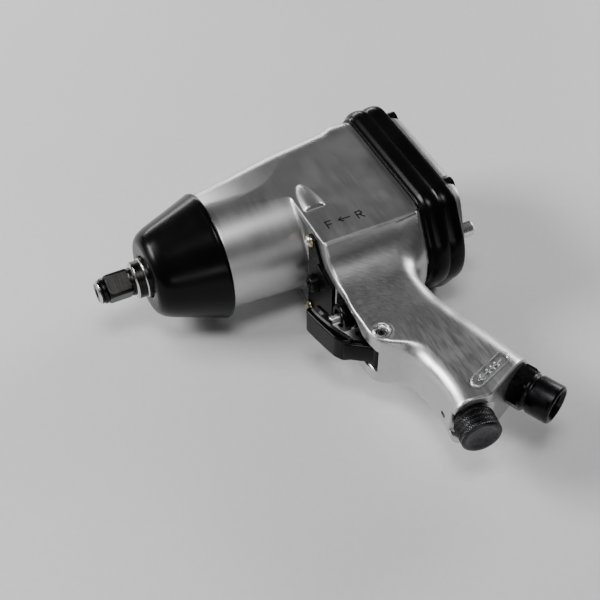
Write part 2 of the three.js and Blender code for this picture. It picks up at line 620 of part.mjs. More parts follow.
// ---------------------------------------------------------------- regulator and inlet
function regulatorKnob() {
  const rim = KNOB_LONG;
  const body = turned([
    [GAP, 0], [GAP, KNOB_R - 1.4], [1.8, KNOB_R], [rim - 1, KNOB_R], [rim, KNOB_R - 1],
    [rim, KNOB_R - 2.6], [rim - 1.6, KNOB_R - 3.6], [rim - 1.6, 0],
  ], MEDIUM);
  return hung(cut(body, rod(5.6, -1, 6, MEDIUM)), KNOB_FACE, KNOB_TILT);
}
function regulatorValve() {
  const body = turned([
    [-46, 0], [-46, 4.4], [-45, 5.4], [-34, 5.4], [-34, 3.4], [-24, 3.4], [-24, 5.4], [-9.4, 5.4],
    [-9.4, 4.3], [-6.8, 4.3], [-6.8, 5.4], [5.7, 5.4], [5.7, 0],
  ], MEDIUM);
  return hung(body, KNOB_FACE, KNOB_TILT);
}
function inletBushing() {
  const sleeve = 14.5;
  const hexLong = 7.5;
  const body = turned([
    [-14, 6.2], [-14, 9], [-13.2, 9.5], [GAP, 9.5], [GAP, INLET_R], [hexLong + sleeve - 1, INLET_R],
    [hexLong + sleeve, INLET_R - 1], [hexLong + sleeve, 7.2],
    [hexLong, 7.2], [hexLong, 6.2], [-14, 6.2],
  ], MEDIUM);
  const hex = cut(rod(11.6, GAP, hexLong, 6), rod(7, -1, hexLong + 1, MEDIUM));
  return hung(union(body, hex), INLET_FACE, INLET_TILT);
}
function inletScreen() {
  const disc = rod(9.2, -15.2, -14.4, MEDIUM);
  const holes = [];
  for (let row = -1; row <= 1; row += 1) {
    for (let column = -1; column <= 1; column += 1) {
      holes.push(rod(1.5, -17, -13, 6, row * 4, column * 4));
    }
  }
  return hung(cut(disc, ...holes), INLET_FACE, INLET_TILT);
}

add("regulator_knob", regulatorKnob(), blackOxide);
add("regulator_valve", regulatorValve(), brightSteel);
add("regulator_o_ring", hung(ring(4.6, 5.7, -9, -7.2, MEDIUM), KNOB_FACE, KNOB_TILT), nitrile);
add("inlet_bushing", inletBushing(), blackOxide);
add("inlet_screen", inletScreen(), brightSteel);

// ---------------------------------------------------------------- placing
const box = new THREE.Box3().setFromObject(tool);
const middle = box.getCenter(new THREE.Vector3());
tool.position.set(-middle.x, -middle.y, -box.min.z);

const group = new THREE.Group();
group.add(tool);
export default group;
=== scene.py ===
# The looks of a half-inch air impact wrench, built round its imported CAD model. Shapes are
# worked out in millimetres in the tool's own frame, where x runs back from the nose boot's
# rim along the drive axis, y is the tool's up and z its left; to_row() turns them into metres.
import json
import math
from itertools import product

import bmesh
import bpy
import numpy as np
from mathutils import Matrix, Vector


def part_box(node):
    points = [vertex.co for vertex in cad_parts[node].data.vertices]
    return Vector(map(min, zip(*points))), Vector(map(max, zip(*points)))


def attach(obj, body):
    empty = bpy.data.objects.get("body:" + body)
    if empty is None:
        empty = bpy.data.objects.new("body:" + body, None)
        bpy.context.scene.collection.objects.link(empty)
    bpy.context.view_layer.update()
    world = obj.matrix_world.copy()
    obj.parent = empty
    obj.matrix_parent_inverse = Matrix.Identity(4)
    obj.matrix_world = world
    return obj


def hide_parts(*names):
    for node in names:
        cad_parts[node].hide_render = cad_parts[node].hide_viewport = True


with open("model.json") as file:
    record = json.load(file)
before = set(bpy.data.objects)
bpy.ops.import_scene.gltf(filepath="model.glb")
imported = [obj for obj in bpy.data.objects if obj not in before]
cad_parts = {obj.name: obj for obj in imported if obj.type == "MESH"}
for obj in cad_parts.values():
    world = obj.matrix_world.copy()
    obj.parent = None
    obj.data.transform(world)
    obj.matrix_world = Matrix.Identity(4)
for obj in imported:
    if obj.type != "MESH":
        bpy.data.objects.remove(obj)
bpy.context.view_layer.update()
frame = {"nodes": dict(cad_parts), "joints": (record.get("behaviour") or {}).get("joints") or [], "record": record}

MM = 0.001
nodes = frame["nodes"]
joints = {joint["name"]: joint for joint in frame["joints"]}
mounts = {mount["name"]: mount for mount in frame["record"]["mounts"]}


# ---- places, from the frame
boot_low, boot_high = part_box("nose_boot")
ORIGIN = np.array([boot_high.x, (boot_low.y + boot_high.y) / 2, (boot_low.z + boot_high.z) / 2])


def to_row(points):
    return ORIGIN + MM * np.asarray(points, float)


def local(point):
    return (np.array(point, float) - ORIGIN) / MM


def span(node):
    low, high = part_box(node)
    return local(low), local(high)


def middle(node):
    low, high = span(node)
    return (low + high) / 2


# Sizes of the rear section are taken from the bumper that fits round it.
GAP = 0.3  # clearance that the CAD keeps between pieces
RECESS_X = span("rear_bumper")[0][0] - GAP
REAR_X = span("rear_gasket")[0][0] - GAP
BAND_END_X = span("rear_bumper")[1][0]
RIB_OUT = 4.0  # how far the bumper's ribs stand out
FLAT_Z = span("rear_bumper")[1][2] - RIB_OUT
TOP_Y = span("rear_bumper")[1][1] - RIB_OUT
BELLY_Y = span("rear_bumper")[0][1] + RIB_OUT
SLAB_X = span("trigger_plate")[1][0] + 0.1  # the rear section's front face
CREASE_Y = -46.0
BARREL_R, BARREL_REAR_R = 30.0, 32.0
CORNER_R = 13.0
LOW_CORNER_R = 12.0
LOW_CORNER_Y = CREASE_Y + 9  # where the flat side ends and the lower corner begins
BELLY_R = 24.0
RECESS_IN = 1.4  # how deep the bumper and the cover sit inside the section's outline
ROD_Y = middle("reverse_valve")[1]
THROTTLE_Y = middle("throttle_bush")[1]
PIVOT = local(joints["trigger_pull"]["pos_m"])
KNOB_FACE = local(joints["regulator_turn"]["pos_m"])
KNOB_WAY = np.array(joints["regulator_turn"]["axis"], float)
INLET_WAY = np.array(mounts["air_inlet_face"]["axis"], float)
INLET_LONG = 22.0
INLET_TIP = local(mounts["air_inlet_face"]["pos_m"])
INLET_TIP[2] = 0
INLET_FACE = INLET_TIP - INLET_LONG * INLET_WAY
SCREWS = [middle(f"cover_screw_{i}") for i in (1, 2, 3, 4)]
PLATE_SCREWS = [middle(f"plate_screw_{i}") for i in (1, 2)]


# ---- materials
class Nodes:
    """A material's node tree, with short calls for the nodes that are used here."""

    def __init__(self, name):
        self.material = bpy.data.materials.new(name)
        self.material.use_nodes = True
        self.tree = self.material.node_tree
        self.shader = self.tree.nodes["Principled BSDF"]
        place = self.tree.nodes.new("ShaderNodeTexCoord").outputs["Object"]
        self.place = self.mapped(place, tuple(-ORIGIN), (1, 1, 1))

    def add(self, kind, inputs, **settings):
        """A new node. Each input is given a constant or another node's output."""
        node = self.tree.nodes.new(f"ShaderNode{kind}")
        for name, value in settings.items():
            setattr(node, name, value)
        for key, value in inputs.items():
            if isinstance(value, bpy.types.NodeSocket):
                self.tree.links.new(value, node.inputs[key])
            else:
                node.inputs[key].default_value = value
        return node

    def mapped(self, source, shift, scale):
        inputs = {"Vector": source, "Location": shift, "Scale": scale}
        return self.add("Mapping", inputs).outputs["Vector"]

    def stretched(self, x, y, z):
        return self.mapped(self.place, (0, 0, 0), (x, y, z))

    def noise(self, vector, scale, detail, roughness):
        inputs = {"Vector": vector, "Scale": scale, "Detail": detail, "Roughness": roughness}
        return self.add("TexNoise", inputs).outputs["Fac"]

    def math(self, operation, a, b=0.0):
        return self.add("Math", {0: a, 1: b}, operation=operation).outputs["Value"]

    def ranged(self, value, from_low, from_high, to_low=0.0, to_high=1.0):
        names = ("Value", "From Min", "From Max", "To Min", "To Max")
        inputs = dict(zip(names, (value, from_low, from_high, to_low, to_high)))
        return self.add("MapRange", inputs, interpolation_type="SMOOTHSTEP").outputs["Result"]

    def blend(self, factor, a, b):
        return self.add("Mix", {0: factor, 2: a, 3: b}, data_type="FLOAT").outputs[0]

    def colours(self, factor, low, high, start, end):
        node = self.add("ValToRGB", {"Fac": factor})
        for element, position, color in zip(node.color_ramp.elements, (start, end), (low, high)):
            element.position = position
            element.color = (*color, 1)
        return node.outputs["Color"]

    def bump(self, height, distance, strength):
        inputs = {"Distance": distance, "Strength": strength, "Height": height}
        normal = self.add("Bump", inputs).outputs["Normal"]
        self.tree.links.new(normal, self.shader.inputs["Normal"])

    def finish(self, color, rough, **constants):
        """Links the colour and roughness, and sets constants on the shader's own sockets."""
        self.tree.links.new(color, self.shader.inputs["Base Color"])
        self.tree.links.new(rough, self.shader.inputs["Roughness"])
        for name, value in constants.items():
            self.shader.inputs[name.replace("_", " ")].default_value = value
        return self.material


# Heights and a place in metres, in the tool's own frame, where the brushing changes its way.
GRINDING_CENTRE = (0.030, -0.105)
ARCS_FROM, ARCS_FULL = -0.045, -0.047
GRAIN_FROM, GRAIN_FULL = -0.085, -0.115


def aluminium_material(name, light, dark):
    """Cast aluminium, brushed round the barrel and along the flats, ground in arcs below."""
    n = Nodes(name)
    place = n.add("SeparateXYZ", {"Vector": n.place}).outputs
    x, y = place["X"], place["Y"]
    round_brush = n.noise(n.stretched(2400, 60, 60), 1.0, 4, 0.65)
    fine_brush = n.noise(n.stretched(1900, 45, 45), 1.0, 3, 0.6)
    dx = n.math("SUBTRACT", x, GRINDING_CENTRE[0])
    dy = n.math("SUBTRACT", y, GRINDING_CENTRE[1])
    squared = n.math("ADD", n.math("MULTIPLY", dx, dx), n.math("MULTIPLY", dy, dy))
    radius = n.math("MULTIPLY", n.math("SQRT", squared), 1500)
    angle = n.math("MULTIPLY", n.math("ARCTAN2", dy, dx), 9)
    polar = n.add("CombineXYZ", {"X": radius, "Y": angle}).outputs["Vector"]
    arcs = n.noise(polar, 1.0, 4, 0.7)
    along_handle = n.noise(n.stretched(700, 90, 700), 1.0, 3, 0.6)
    streaks = n.blend(0.4, round_brush, fine_brush)
    streaks = n.blend(n.ranged(y, ARCS_FROM, ARCS_FULL), streaks, arcs)
    streaks = n.blend(n.ranged(y, GRAIN_FROM, GRAIN_FULL), streaks, along_handle)
    mottle = n.noise(n.place, 55, 3, 0.5)
    sand = n.noise(n.place, 2600, 2, 0.5)
    tone = n.blend(0.25, streaks, mottle)
    color = n.colours(tone, (dark, dark, dark * 1.005), (light, light, light * 1.01), 0.25, 0.75)
    rough = n.ranged(n.blend(0.4, streaks, mottle), 0.3, 0.7, 0.31, 0.43)
    n.bump(n.blend(0.3, streaks, sand), 0.000010, 0.5)
    return n.finish(color, rough, Metallic=1.0)


def steel_material(name, low, high, rough_low, rough_high, grain=1600, across=60):
    """Turned or ground steel: streaks round the drive axis, with stains."""
    n = Nodes(name)
    streaks = n.noise(n.stretched(grain, across, across), 1.0, 4, 0.6)
    stains = n.noise(n.place, 160, 5, 0.65)
    speckle = n.noise(n.place, 3000, 2, 0.5)
    tone = n.blend(0.5, streaks, stains)
    color = n.colours(tone, low, high, 0.32, 0.68)
    rough = n.ranged(n.blend(0.35, stains, speckle), 0.3, 0.7, rough_low, rough_high)
    n.bump(n.blend(0.3, streaks, speckle), 0.000008, 0.6)
    return n.finish(color, rough, Metallic=1.0)


def rubber_material(name, low, high, rough_low, rough_high):
    """Moulded rubber or plastic: fine grain, a few dusty or smudged patches."""
    n = Nodes(name)
    grain = n.noise(n.place, 2200, 2, 0.5)
    dust = n.noise(n.place, 45, 3, 0.5)
    smudge = n.noise(n.place, 70, 2, 0.4)
    color = n.colours(n.blend(0.4, dust, grain), low, high, 0.4, 0.75)
    rough = n.ranged(n.blend(0.5, dust, smudge), 0.35, 0.7, rough_low, rough_high)
    n.bump(grain, 0.0000006, 0.4)
    return n.finish(color, rough, IOR=1.28, Specular_IOR_Level=0.35)


def zinc_material():
    n = Nodes("yellow_zinc_plate")
    tint = n.noise(n.place, 420, 3, 0.6)
    grain = n.noise(n.place, 3800, 2, 0.5)
    color = n.colours(tint, (0.40, 0.34, 0.22), (0.66, 0.60, 0.46), 0.38, 0.62)
    rough = n.ranged(grain, 0.3, 0.7, 0.2, 0.36)
    n.bump(grain, 0.00002, 0.4)
    return n.finish(color, rough, Metallic=1.0)


def laminate_material(name, low, high, weave):
    """Cloth-filled laminate or pressed fibre: a fine crossed weave with flecks."""
    n = Nodes(name)
    warp = n.noise(n.stretched(weave, weave / 8, weave), 1.0, 2, 0.5)
    weft = n.noise(n.stretched(weave / 8, weave, weave), 1.0, 2, 0.5)
    flecks = n.noise(n.place, 1500, 3, 0.7)
    cloth = n.blend(0.5, warp, weft)
    color = n.colours(n.blend(0.4, cloth, flecks), low, high, 0.35, 0.65)
    rough = n.ranged(flecks, 0.3, 0.7, 0.55, 0.8)
    n.bump(cloth, 0.00004, 0.6)
    return n.finish(color, rough)


ALUMINIUM = aluminium_material("brushed_cast_aluminium", 0.56, 0.45)
COVER_ALUMINIUM = aluminium_material("cover_cast_aluminium", 0.52, 0.38)
RAISED_ALUMINIUM = aluminium_material("raised_edge_aluminium", 0.9, 0.78)
JET, SOOT = (0.0015, 0.0015, 0.0017), (0.003, 0.003, 0.0033)
RUBBER = rubber_material("gloss_black_rubber", JET, SOOT, 0.22, 0.27)
PLASTIC = rubber_material("gloss_black_plastic", JET, SOOT, 0.18, 0.24)
NITRILE = rubber_material("matte_nitrile", (0.02, 0.02, 0.02), (0.04, 0.04, 0.04), 0.5, 0.7)
ANVIL_STEEL = steel_material(
    "phosphated_anvil_steel", (0.010, 0.0098, 0.0095), (0.034, 0.033, 0.032), 0.28, 0.4)
# A lighter, smoother copy of the anvil steel: a painted highlight for the anvil's chamfers.
CHAMFER_HIGHLIGHT_STEEL = steel_material("painted_highlight_steel", (0.5, 0.49, 0.48), (0.78, 0.77, 0.75), 0.16, 0.3)
BLACK_STEEL = steel_material(
    "black_oxide_steel", (0.010, 0.010, 0.011), (0.03, 0.03, 0.032), 0.24, 0.38, 900, 200)
KNURL_STEEL = steel_material(
    "knurled_black_steel", (0.018, 0.018, 0.019), (0.075, 0.075, 0.078), 0.28, 0.4, 900, 900)
BRIGHT_STEEL = steel_material(
    "ground_bright_steel", (0.72, 0.72, 0.71), (0.9, 0.9, 0.89), 0.22, 0.34)
HARD_STEEL = steel_material("hardened_steel", (0.3, 0.29, 0.27), (0.52, 0.5, 0.47), 0.28, 0.44)
BRONZE = steel_material(
    "sintered_bronze", (0.42, 0.26, 0.12), (0.66, 0.46, 0.26), 0.34, 0.52, 500, 500)
ZINC = zinc_material()
PHENOLIC = laminate_material("cloth_phenolic", (0.16, 0.085, 0.04), (0.34, 0.2, 0.11), 2600)
GASKET = laminate_material("fibre_gasket", (0.30, 0.25, 0.17), (0.55, 0.48, 0.36), 3600)
# A dark finish that paints the shade inside engraved letters and inside the screws' cross recesses.
PAINTED_SHADE = steel_material("painted_shade_mark", (0.02, 0.02, 0.02), (0.06, 0.06, 0.06), 0.5, 0.7)


# ---- mesh tools
DOUBLED = 2e-6  # metres: points nearer than this are one point


def placed(name, data):
    """A new object in the scene."""
    thing = bpy.data.objects.new(name, data)
    bpy.context.scene.collection.objects.link(thing)
    return thing


def skin_mesh(name, points, faces, materials=(), indices=None):
    """A mesh from points in local millimetres, closed up and with its faces looking outwards."""
    mesh = bpy.data.meshes.new(name)
    mesh.from_pydata([tuple(p) for p in to_row(points)], [], faces)
    for material in materials:
        mesh.materials.append(material)
    if indices is not None:
        mesh.polygons.foreach_set("material_index", indices)
    bm = bmesh.new()
    bm.from_mesh(mesh)
    bmesh.ops.remove_doubles(bm, verts=bm.verts, dist=DOUBLED)
    bmesh.ops.recalc_face_normals(bm, faces=bm.faces)
    bm.to_mesh(mesh)
    bm.free()
    return mesh


def piece(name, points, faces, materials, body, slot, replaced=(), sharp=35, indices=None):
    """A new piece from points in local millimetres, riding on a CAD body."""
    if not isinstance(materials, list):
        materials = [materials]
    mesh = skin_mesh(name, points, faces, materials, indices)
    mesh.polygons.foreach_set("use_smooth", [True] * len(mesh.polygons))
    mesh.set_sharp_from_angle(angle=math.radians(sharp))
    thing = placed(name, mesh)
    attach(thing, body)
    if replaced:
        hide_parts(*replaced)
    return thing


def lathe(profile, segments=96, centre=(0, 0)):
    """Points and faces of a solid of revolution about X; profile is a list of (x, radius)."""
    y0, z0 = centre
    turns = [2 * math.pi * k / segments for k in range(segments)]
    points = [(x, y0 + r * math.cos(a), z0 + r * math.sin(a)) for x, r in profile for a in turns]
    faces = []
    for i, (start, end) in enumerate(zip(profile, profile[1:])):
        here, there = i * segments, (i + 1) * segments
        for k in range(segments):
            n = (k + 1) % segments
            quad = [here + k, here + n, there + n, there + k]
            if start[1] == 0:
                quad = [quad[0], quad[2], quad[3]]
            elif end[1] == 0:
                quad = [quad[0], quad[1], quad[2]]
            faces.append(quad)
    return np.array(points), faces


def drill(start, end, radius, centre=(0, 0), segments=24):
    """A round cutter along X."""
    return lathe([(start, 0), (start, radius), (end, radius), (end, 0)], segments, centre)


def closed(profile):
    """A profile that ends where it starts, for a ring about the axis."""
    return [*profile, profile[0]]


def rounded(profile, radius, steps=3):
    """The same profile with each corner rounded off, leaving its two ends alone."""
    out = [profile[0]]
    for before, here, after in zip(profile, profile[1:], profile[2:]):
        a, b, c = (np.array(p, float) for p in (before, here, after))
        reach = min(radius, 0.4 * np.linalg.norm(a - b), 0.4 * np.linalg.norm(c - b))
        if reach < 1e-3:
            out.append(here)
            continue
        first = b + reach * (a - b) / np.linalg.norm(a - b)
        last = b + reach * (c - b) / np.linalg.norm(c - b)
        for i in range(steps + 1):
            t = i / steps
            out.append(tuple((1 - t) ** 2 * first + 2 * t * (1 - t) * b + t * t * last))
    out.append(profile[-1])
    return out


def hung(points, place, way):
    """Points built along +X, moved so that X runs along way from place in the XY plane."""
    points = np.asarray(points, float)
    across = np.array([-way[1], way[0], 0])
    return place + points[:, :1] * way + points[:, 1:2] * across + points[:, 2:] * [0, 0, 1]


def turned_ring(x, radii, angles):
    """A ring of points round X, at one x."""
    return np.stack([np.full_like(angles, x), radii * np.cos(angles), radii * np.sin(angles)], 1)


def walls(rings):
    """Points of a stack of rings of equally many points, and the faces between them."""
    count = len(rings[0])
    points = np.concatenate([np.asarray(ring, float) for ring in rings])
    faces = []
    for k in range(len(rings) - 1):
        for i in range(count):
            here, there = k * count, (k + 1) * count
            j = (i + 1) % count
            faces.append([here + i, here + j, there + j, there + i])
    return points, faces


def loft(rings):
    """Points and faces of a closed skin through a stack of rings."""
    points, faces = walls(rings)
    count = len(rings[0])
    faces.append(list(range(count))[::-1])
    faces.append(list(range(len(points) - count, len(points))))
    return points, faces


def tube(outer, inner):
    """A closed skin between an outer and an inner stack of rings along the same path."""
    return walls([*outer, *inner[::-1], outer[0]])


def plate(outline, low, high):
    """A plate from an outline of (x, y) points, between two heights along Z."""
    count = len(outline)
    points = [(x, y, z) for z in (low, high) for x, y in outline]
    faces = [list(range(count))[::-1], list(range(count, 2 * count))]
    faces += [[i, (i + 1) % count, count + (i + 1) % count, count + i] for i in range(count)]
    return np.array(points), faces


def bevelled(thing, width, segments=3, angle=30):
    """Rounds a piece's edges; width in millimetres, angle in degrees."""
    modifier = thing.modifiers.new("bevel", "BEVEL")
    modifier.width = width * MM
    modifier.segments = segments
    modifier.limit_method = "ANGLE"
    modifier.angle_limit = math.radians(angle)
    modifier.harden_normals = False
    return thing


def apply_modifiers(thing):
    """Replaces a piece's mesh with what its modifiers make of it."""
    graph = bpy.context.evaluated_depsgraph_get()
    mesh = bpy.data.meshes.new_from_object(thing.evaluated_get(graph))
    thing.modifiers.clear()
    thing.data = mesh
    mesh.polygons.foreach_set("use_smooth", [True] * len(mesh.polygons))


def cut_away(thing, parts, sharp=35):
    """Cuts closed skins, given in local millimetres, out of a piece."""
    cutters = []
    for points, faces in parts:
        cutter = placed("cutter", skin_mesh("cutter", points, faces))
        modifier = thing.modifiers.new("cut", "BOOLEAN")
        modifier.operation = "DIFFERENCE"
        modifier.solver = "MANIFOLD"
        modifier.object = cutter
        cutters.append(cutter)
    apply_modifiers(thing)
    for cutter in cutters:
        bpy.data.objects.remove(cutter)
    thing.data.set_sharp_from_angle(angle=math.radians(sharp))


# ---- the rear section's outline
def arc(cy, cz, radius, start, end, steps):
    """Points (y, z) along an arc, between two angles in degrees."""
    turns = np.radians(np.linspace(start, end, steps + 1))
    return [(cy + radius * math.cos(a), cz + radius * math.sin(a)) for a in turns]


def shield(grow, fine=3):
    """The rear section across X, as (y, z) points: rounded corners, flat sides, arched belly."""
    left = [
        *arc(BELLY_Y + BELLY_R, 0, BELLY_R + grow, 180, 144, 4 * fine),
        *arc(LOW_CORNER_Y, FLAT_Z - LOW_CORNER_R, LOW_CORNER_R + grow, 138, 90, 5 * fine),
        *arc(TOP_Y - CORNER_R, FLAT_Z - CORNER_R, CORNER_R + grow, 90, 4, 7 * fine),
    ]
    return left + [(y, -z) for y, z in left[:0:-1]]


def at_x(x, outline):
    return [(x, y, z) for y, z in outline]


def outline_distance(outline, low, high):
    """A function giving the signed distance to a closed (y, z) outline, from a table."""
    step = 0.25
    ys = np.arange(low[0], high[0] + step, step)
    zs = np.arange(low[1], high[1] + step, step)
    grid = np.stack(np.meshgrid(ys, zs, indexing="ij"), -1).reshape(-1, 2)
    corners = np.array(outline)
    nearest = np.full(len(grid), 1e9)
    crossings = np.zeros(len(grid), int)
    for a, b in zip(corners, np.roll(corners, -1, 0)):
        edge, reach = b - a, grid - a
        t = np.clip(reach @ edge / max(edge @ edge, 1e-12), 0, 1)
        nearest = np.minimum(nearest, np.linalg.norm(reach - t[:, None] * edge, axis=1))
        spans = (a[1] > grid[:, 1]) != (b[1] > grid[:, 1])
        if a[1] != b[1]:
            where = (b[0] - a[0]) * (grid[:, 1] - a[1]) / (b[1] - a[1]) + a[0]
            crossings += spans & (grid[:, 0] < where)
    table = np.where(crossings % 2, -nearest, nearest).reshape(len(ys), len(zs))

    def distance(y, z):
        u = np.clip((y - low[0]) / step, 0, len(ys) - 1.001)
        v = np.clip((z - low[1]) / step, 0, len(zs) - 1.001)
        i, j = u.astype(int), v.astype(int)
        fu, fv = u - i, v - j
        return (
            table[i, j] * (1 - fu) * (1 - fv) + table[i + 1, j] * fu * (1 - fv)
            + table[i, j + 1] * (1 - fu) * fv + table[i + 1, j + 1] * fu * fv
        )

    return distance


# ---- the casting, as a distance field
def soft_min(a, b, k):
    h = np.clip(0.5 + 0.5 * (b - a) / k, 0, 1)
    return b * (1 - h) + a * h - k * h * (1 - h)


def soft_max(a, b, k):
    return -soft_min(-a, -b, k)


def smooth_step(value, start, end):
    t = np.clip((value - start) / (end - start), 0, 1)
    return t * t * (3 - 2 * t)


def curve(y, heights, values):
    """A smooth curve through values at the given heights, which run downwards."""
    ys, vs = np.array(heights[::-1], float), np.array(values[::-1], float)
    slopes = np.gradient(vs, ys)
    y = np.clip(y, ys[0], ys[-1])
    i = np.clip(np.searchsorted(ys, y) - 1, 0, len(ys) - 2)
    h = ys[i + 1] - ys[i]
    t = (y - ys[i]) / h
    return (
        (2 * t**3 - 3 * t**2 + 1) * vs[i] + (t**3 - 2 * t**2 + t) * h * slopes[i]
        + (3 * t**2 - 2 * t**3) * vs[i + 1] + (t**3 - t**2) * h * slopes[i + 1]
    )


# The handle at each height: its front and back edges, half its width, and its roundings.
HANDLE_Y = (-40, -52, -59, -68, -78, -88, -96, -102, -110, -124, -138, -158)
HANDLE_FRONT = (SLAB_X, SLAB_X, SLAB_X, SLAB_X, 40.9, 41, 41.2, 43.2, 51.4, 56, 57, 54)
HANDLE_BACK = (90, 87, 85, 84, 84.6, 87, 90.2, 92.4, 95.4, 99.8, 104, 110)
HANDLE_HALF = (16.6, 16.4, 16.3, 16.2, 16.1, 16, 16, 16, 16, 16, 16.2, 16.6)
FRONT_ROUND = (1.4, 1.4, 1.4, 1.4, 1.4, 1.5, 1.8, 3.2, 8, 9, 9, 9)
BACK_ROUND = (8, 8, 8.5, 9, 10, 12, 13, 14, 14, 14, 14, 14)
CREASE_STEP = 0.4  # how far the flank stands in from the flat above it
FLANK_BLEND = 23.0  # how widely the handle flares into the rear section
HUB_HALF = 6.6  # the trigger's hub, to each side
NOSE_X, NOSE_R = -31.5, 17.4  # the barrel's front end, inside the boot
BOOT_END = 0.8  # the casting widens behind this, clear of the boot's rim
SHOULDER_R, SHOULDER_Y = 15.0, 12.5  # the top corners' radius and height at the boot
SHOULDER_IN, FLAT_FROM = 3.5, 55  # how far in the corners start, and where they reach the flats
COLLAR_X = 89.0  # the collar in front of the bumper tapers off ahead of this
KNOB_RIM = 3.0  # how far the casting's rim stands round the knob
KNOB_WELL_R = 12.1

shield_distance = outline_distance(shield(0, 6), (-75, -45), (60, 45))


def barrel_field(x, y, z):
    """The round barrel, with the shoulders that run from it out to the flats."""
    reach = np.hypot(y, z)
    radius = np.interp(
        x, [NOSE_X, -27.5, -0.6, 0.2, SLAB_X + 4, RECESS_X],
        [NOSE_R, 20.6, 29.4, BARREL_R, BARREL_R + 1.4, BARREL_REAR_R],
    )
    plain = reach - radius
    shoulder = np.where(y > 0, shoulder_distance(x, y, np.abs(z), radius), plain)
    skin = np.minimum(plain, soft_max(shoulder, BOOT_END - x, 0.5))
    return soft_max(skin, NOSE_X - x, 0.5)


def shoulder_distance(x, y, z, big):
    """The barrel's upper half: its circle and one at each top corner, wrapped in one skin."""
    t = np.clip(x / RECESS_X, 0, 1)
    small = SHOULDER_R - (SHOULDER_R - CORNER_R) * t
    cy = SHOULDER_Y + (TOP_Y - CORNER_R - SHOULDER_Y) * t
    cz = FLAT_Z - small - SHOULDER_IN * (1 - smooth_step(x, 0, FLAT_FROM))
    apart = np.hypot(cy, cz)
    turn = np.arctan2(cy, cz) - np.arccos(np.clip((big - small) / apart, -1, 1))
    ny, nz = np.sin(turn), np.cos(turn)
    uy, uz = y - cy, z - cz
    side = np.where(y * nz - z * ny > 0, y * ny + z * nz, np.hypot(y, z)) - big
    corner = np.where(uy * nz - uz * ny > 0, np.hypot(uy, uz) - small, side)
    return np.where(z < cz, y - cy - small, corner)


def grip_field(x, y, z):
    """The handle, and where its front edge is at each height."""
    front, back = curve(y, HANDLE_Y, HANDLE_FRONT), curve(y, HANDLE_Y, HANDLE_BACK)
    half = curve(y, HANDLE_Y, HANDLE_HALF)
    centre, reach = (front + back) / 2, (back - front) / 2
    radius = np.where(x < centre, curve(y, HANDLE_Y, FRONT_ROUND), curve(y, HANDLE_Y, BACK_ROUND))
    qx = np.abs(x - centre) - reach + radius
    qz = np.abs(z) - half + radius
    inner = np.minimum(np.maximum(qx, qz), 0)
    return inner + np.hypot(np.maximum(qx, 0), np.maximum(qz, 0)) - radius, front


def rear_field(x, y, z):
    """The slab-sided rear section, its belly collar and the handle that flares out of it."""
    outline = shield_distance(y, z)
    square_low = np.maximum(np.abs(z) - FLAT_Z, CREASE_Y - y)
    upper = np.maximum(np.where(y > LOW_CORNER_Y, outline, square_low), SLAB_X - x)
    upper = soft_max(upper, y + 1, 1.5)
    collar = outline + soft_max(0.75 * (COLLAR_X - x), np.zeros_like(x), 4)
    grip, front = grip_field(x, y, z)
    grip = np.maximum(grip, y + 40)
    lower = soft_min(grip, soft_min(upper, collar, 3), FLANK_BLEND)
    lower = soft_max(lower, np.abs(z) - FLAT_Z + CREASE_STEP, 0.4)
    lower = soft_max(lower, front - x, 1.2)
    return soft_min(upper, lower, 0.3)


def end_field(x, y, z):
    """Distances to the knob's end face, the inlet's end face and the knob's well."""
    kx, ky = x - KNOB_FACE[0], y - KNOB_FACE[1]
    out = kx * KNOB_WAY[0] + ky * KNOB_WAY[1]
    side = ky * KNOB_WAY[0] - kx * KNOB_WAY[1]
    knob = np.maximum(KNOB_RIM - out, side - 18)
    inlet = (x - INLET_FACE[0]) * INLET_WAY[0] + (y - INLET_FACE[1]) * INLET_WAY[1]
    well = np.maximum(np.hypot(side, z) - KNOB_WELL_R, -out)
    return knob, inlet, well


def cheek_field(x, y, z):
    """The round recesses for the trigger pin, with a raised rim round each."""
    reach = np.hypot(x - PIVOT[0], y - PIVOT[1])
    recess = np.maximum(reach - 4.2, 14.9 - np.abs(z))
    hole = reach - 2.7
    rim = np.maximum(np.abs(reach - 4.9) - 0.5, np.abs(z) - 16.35)
    behind_edge = PIVOT[0] - 1.5 - x
    return np.minimum(recess, hole), np.maximum.reduce([rim, 15 - np.abs(z), behind_edge])


def bullet_field(x, y, z):
    """The bullet-shaped boss on the flat side: half a rounded cone, its blunt end low."""
    base, long, radius, height = -21.5, 19.0, 5.6, 3.2
    along = np.clip((y - base) / long, -0.2, 1)
    shape = np.hypot((x - 49.5) / radius, (z - FLAT_Z + 0.4) / height)
    body = (shape - np.sqrt(np.maximum(1 - np.abs(along) ** 1.6, 0))) * height
    return np.maximum(soft_max(body, base - y, 0.5), FLAT_Z - 3 - z)


def casting_field(points):
    x, y, z = points[:, 0], points[:, 1], points[:, 2]
    outline = shield_distance(y, z)
    front = barrel_field(x, y, z)
    rear = rear_field(x, y, z)
    # Sharp where the slab's front meets the barrel low down, melting together higher up.
    melt = 0.9 + 7 * smooth_step(y, -9, 1)
    body = soft_min(front, rear, melt)
    body = np.maximum(body, np.where(y > LOW_CORNER_Y, outline - 0.02, -1.0))
    # Above the handle the casting ends at the bumper, with a narrow step just in front of it.
    step_in = np.minimum(x - (RECESS_X - 2.6), outline + 0.45)
    ended = soft_max(soft_max(body, x - RECESS_X, 0.4), step_in, 0.3)
    body = np.where(y > BELLY_Y - 8, ended, body)
    knob, inlet, well = end_field(x, y, z)
    body = soft_max(body, -knob, 0.9)
    body = soft_max(body, inlet, 0.9)
    body = soft_max(body, -well, 0.5)
    recess, rim = cheek_field(x, y, z)
    body = soft_min(body, rim, 0.5)
    body = soft_max(body, -recess, 0.4)
    body = soft_min(body, bullet_field(x, y, z), 0.7)
    neck = np.maximum.reduce([outline + RECESS_IN, RECESS_X - 1 - x, x - REAR_X])
    return np.minimum(body, neck)


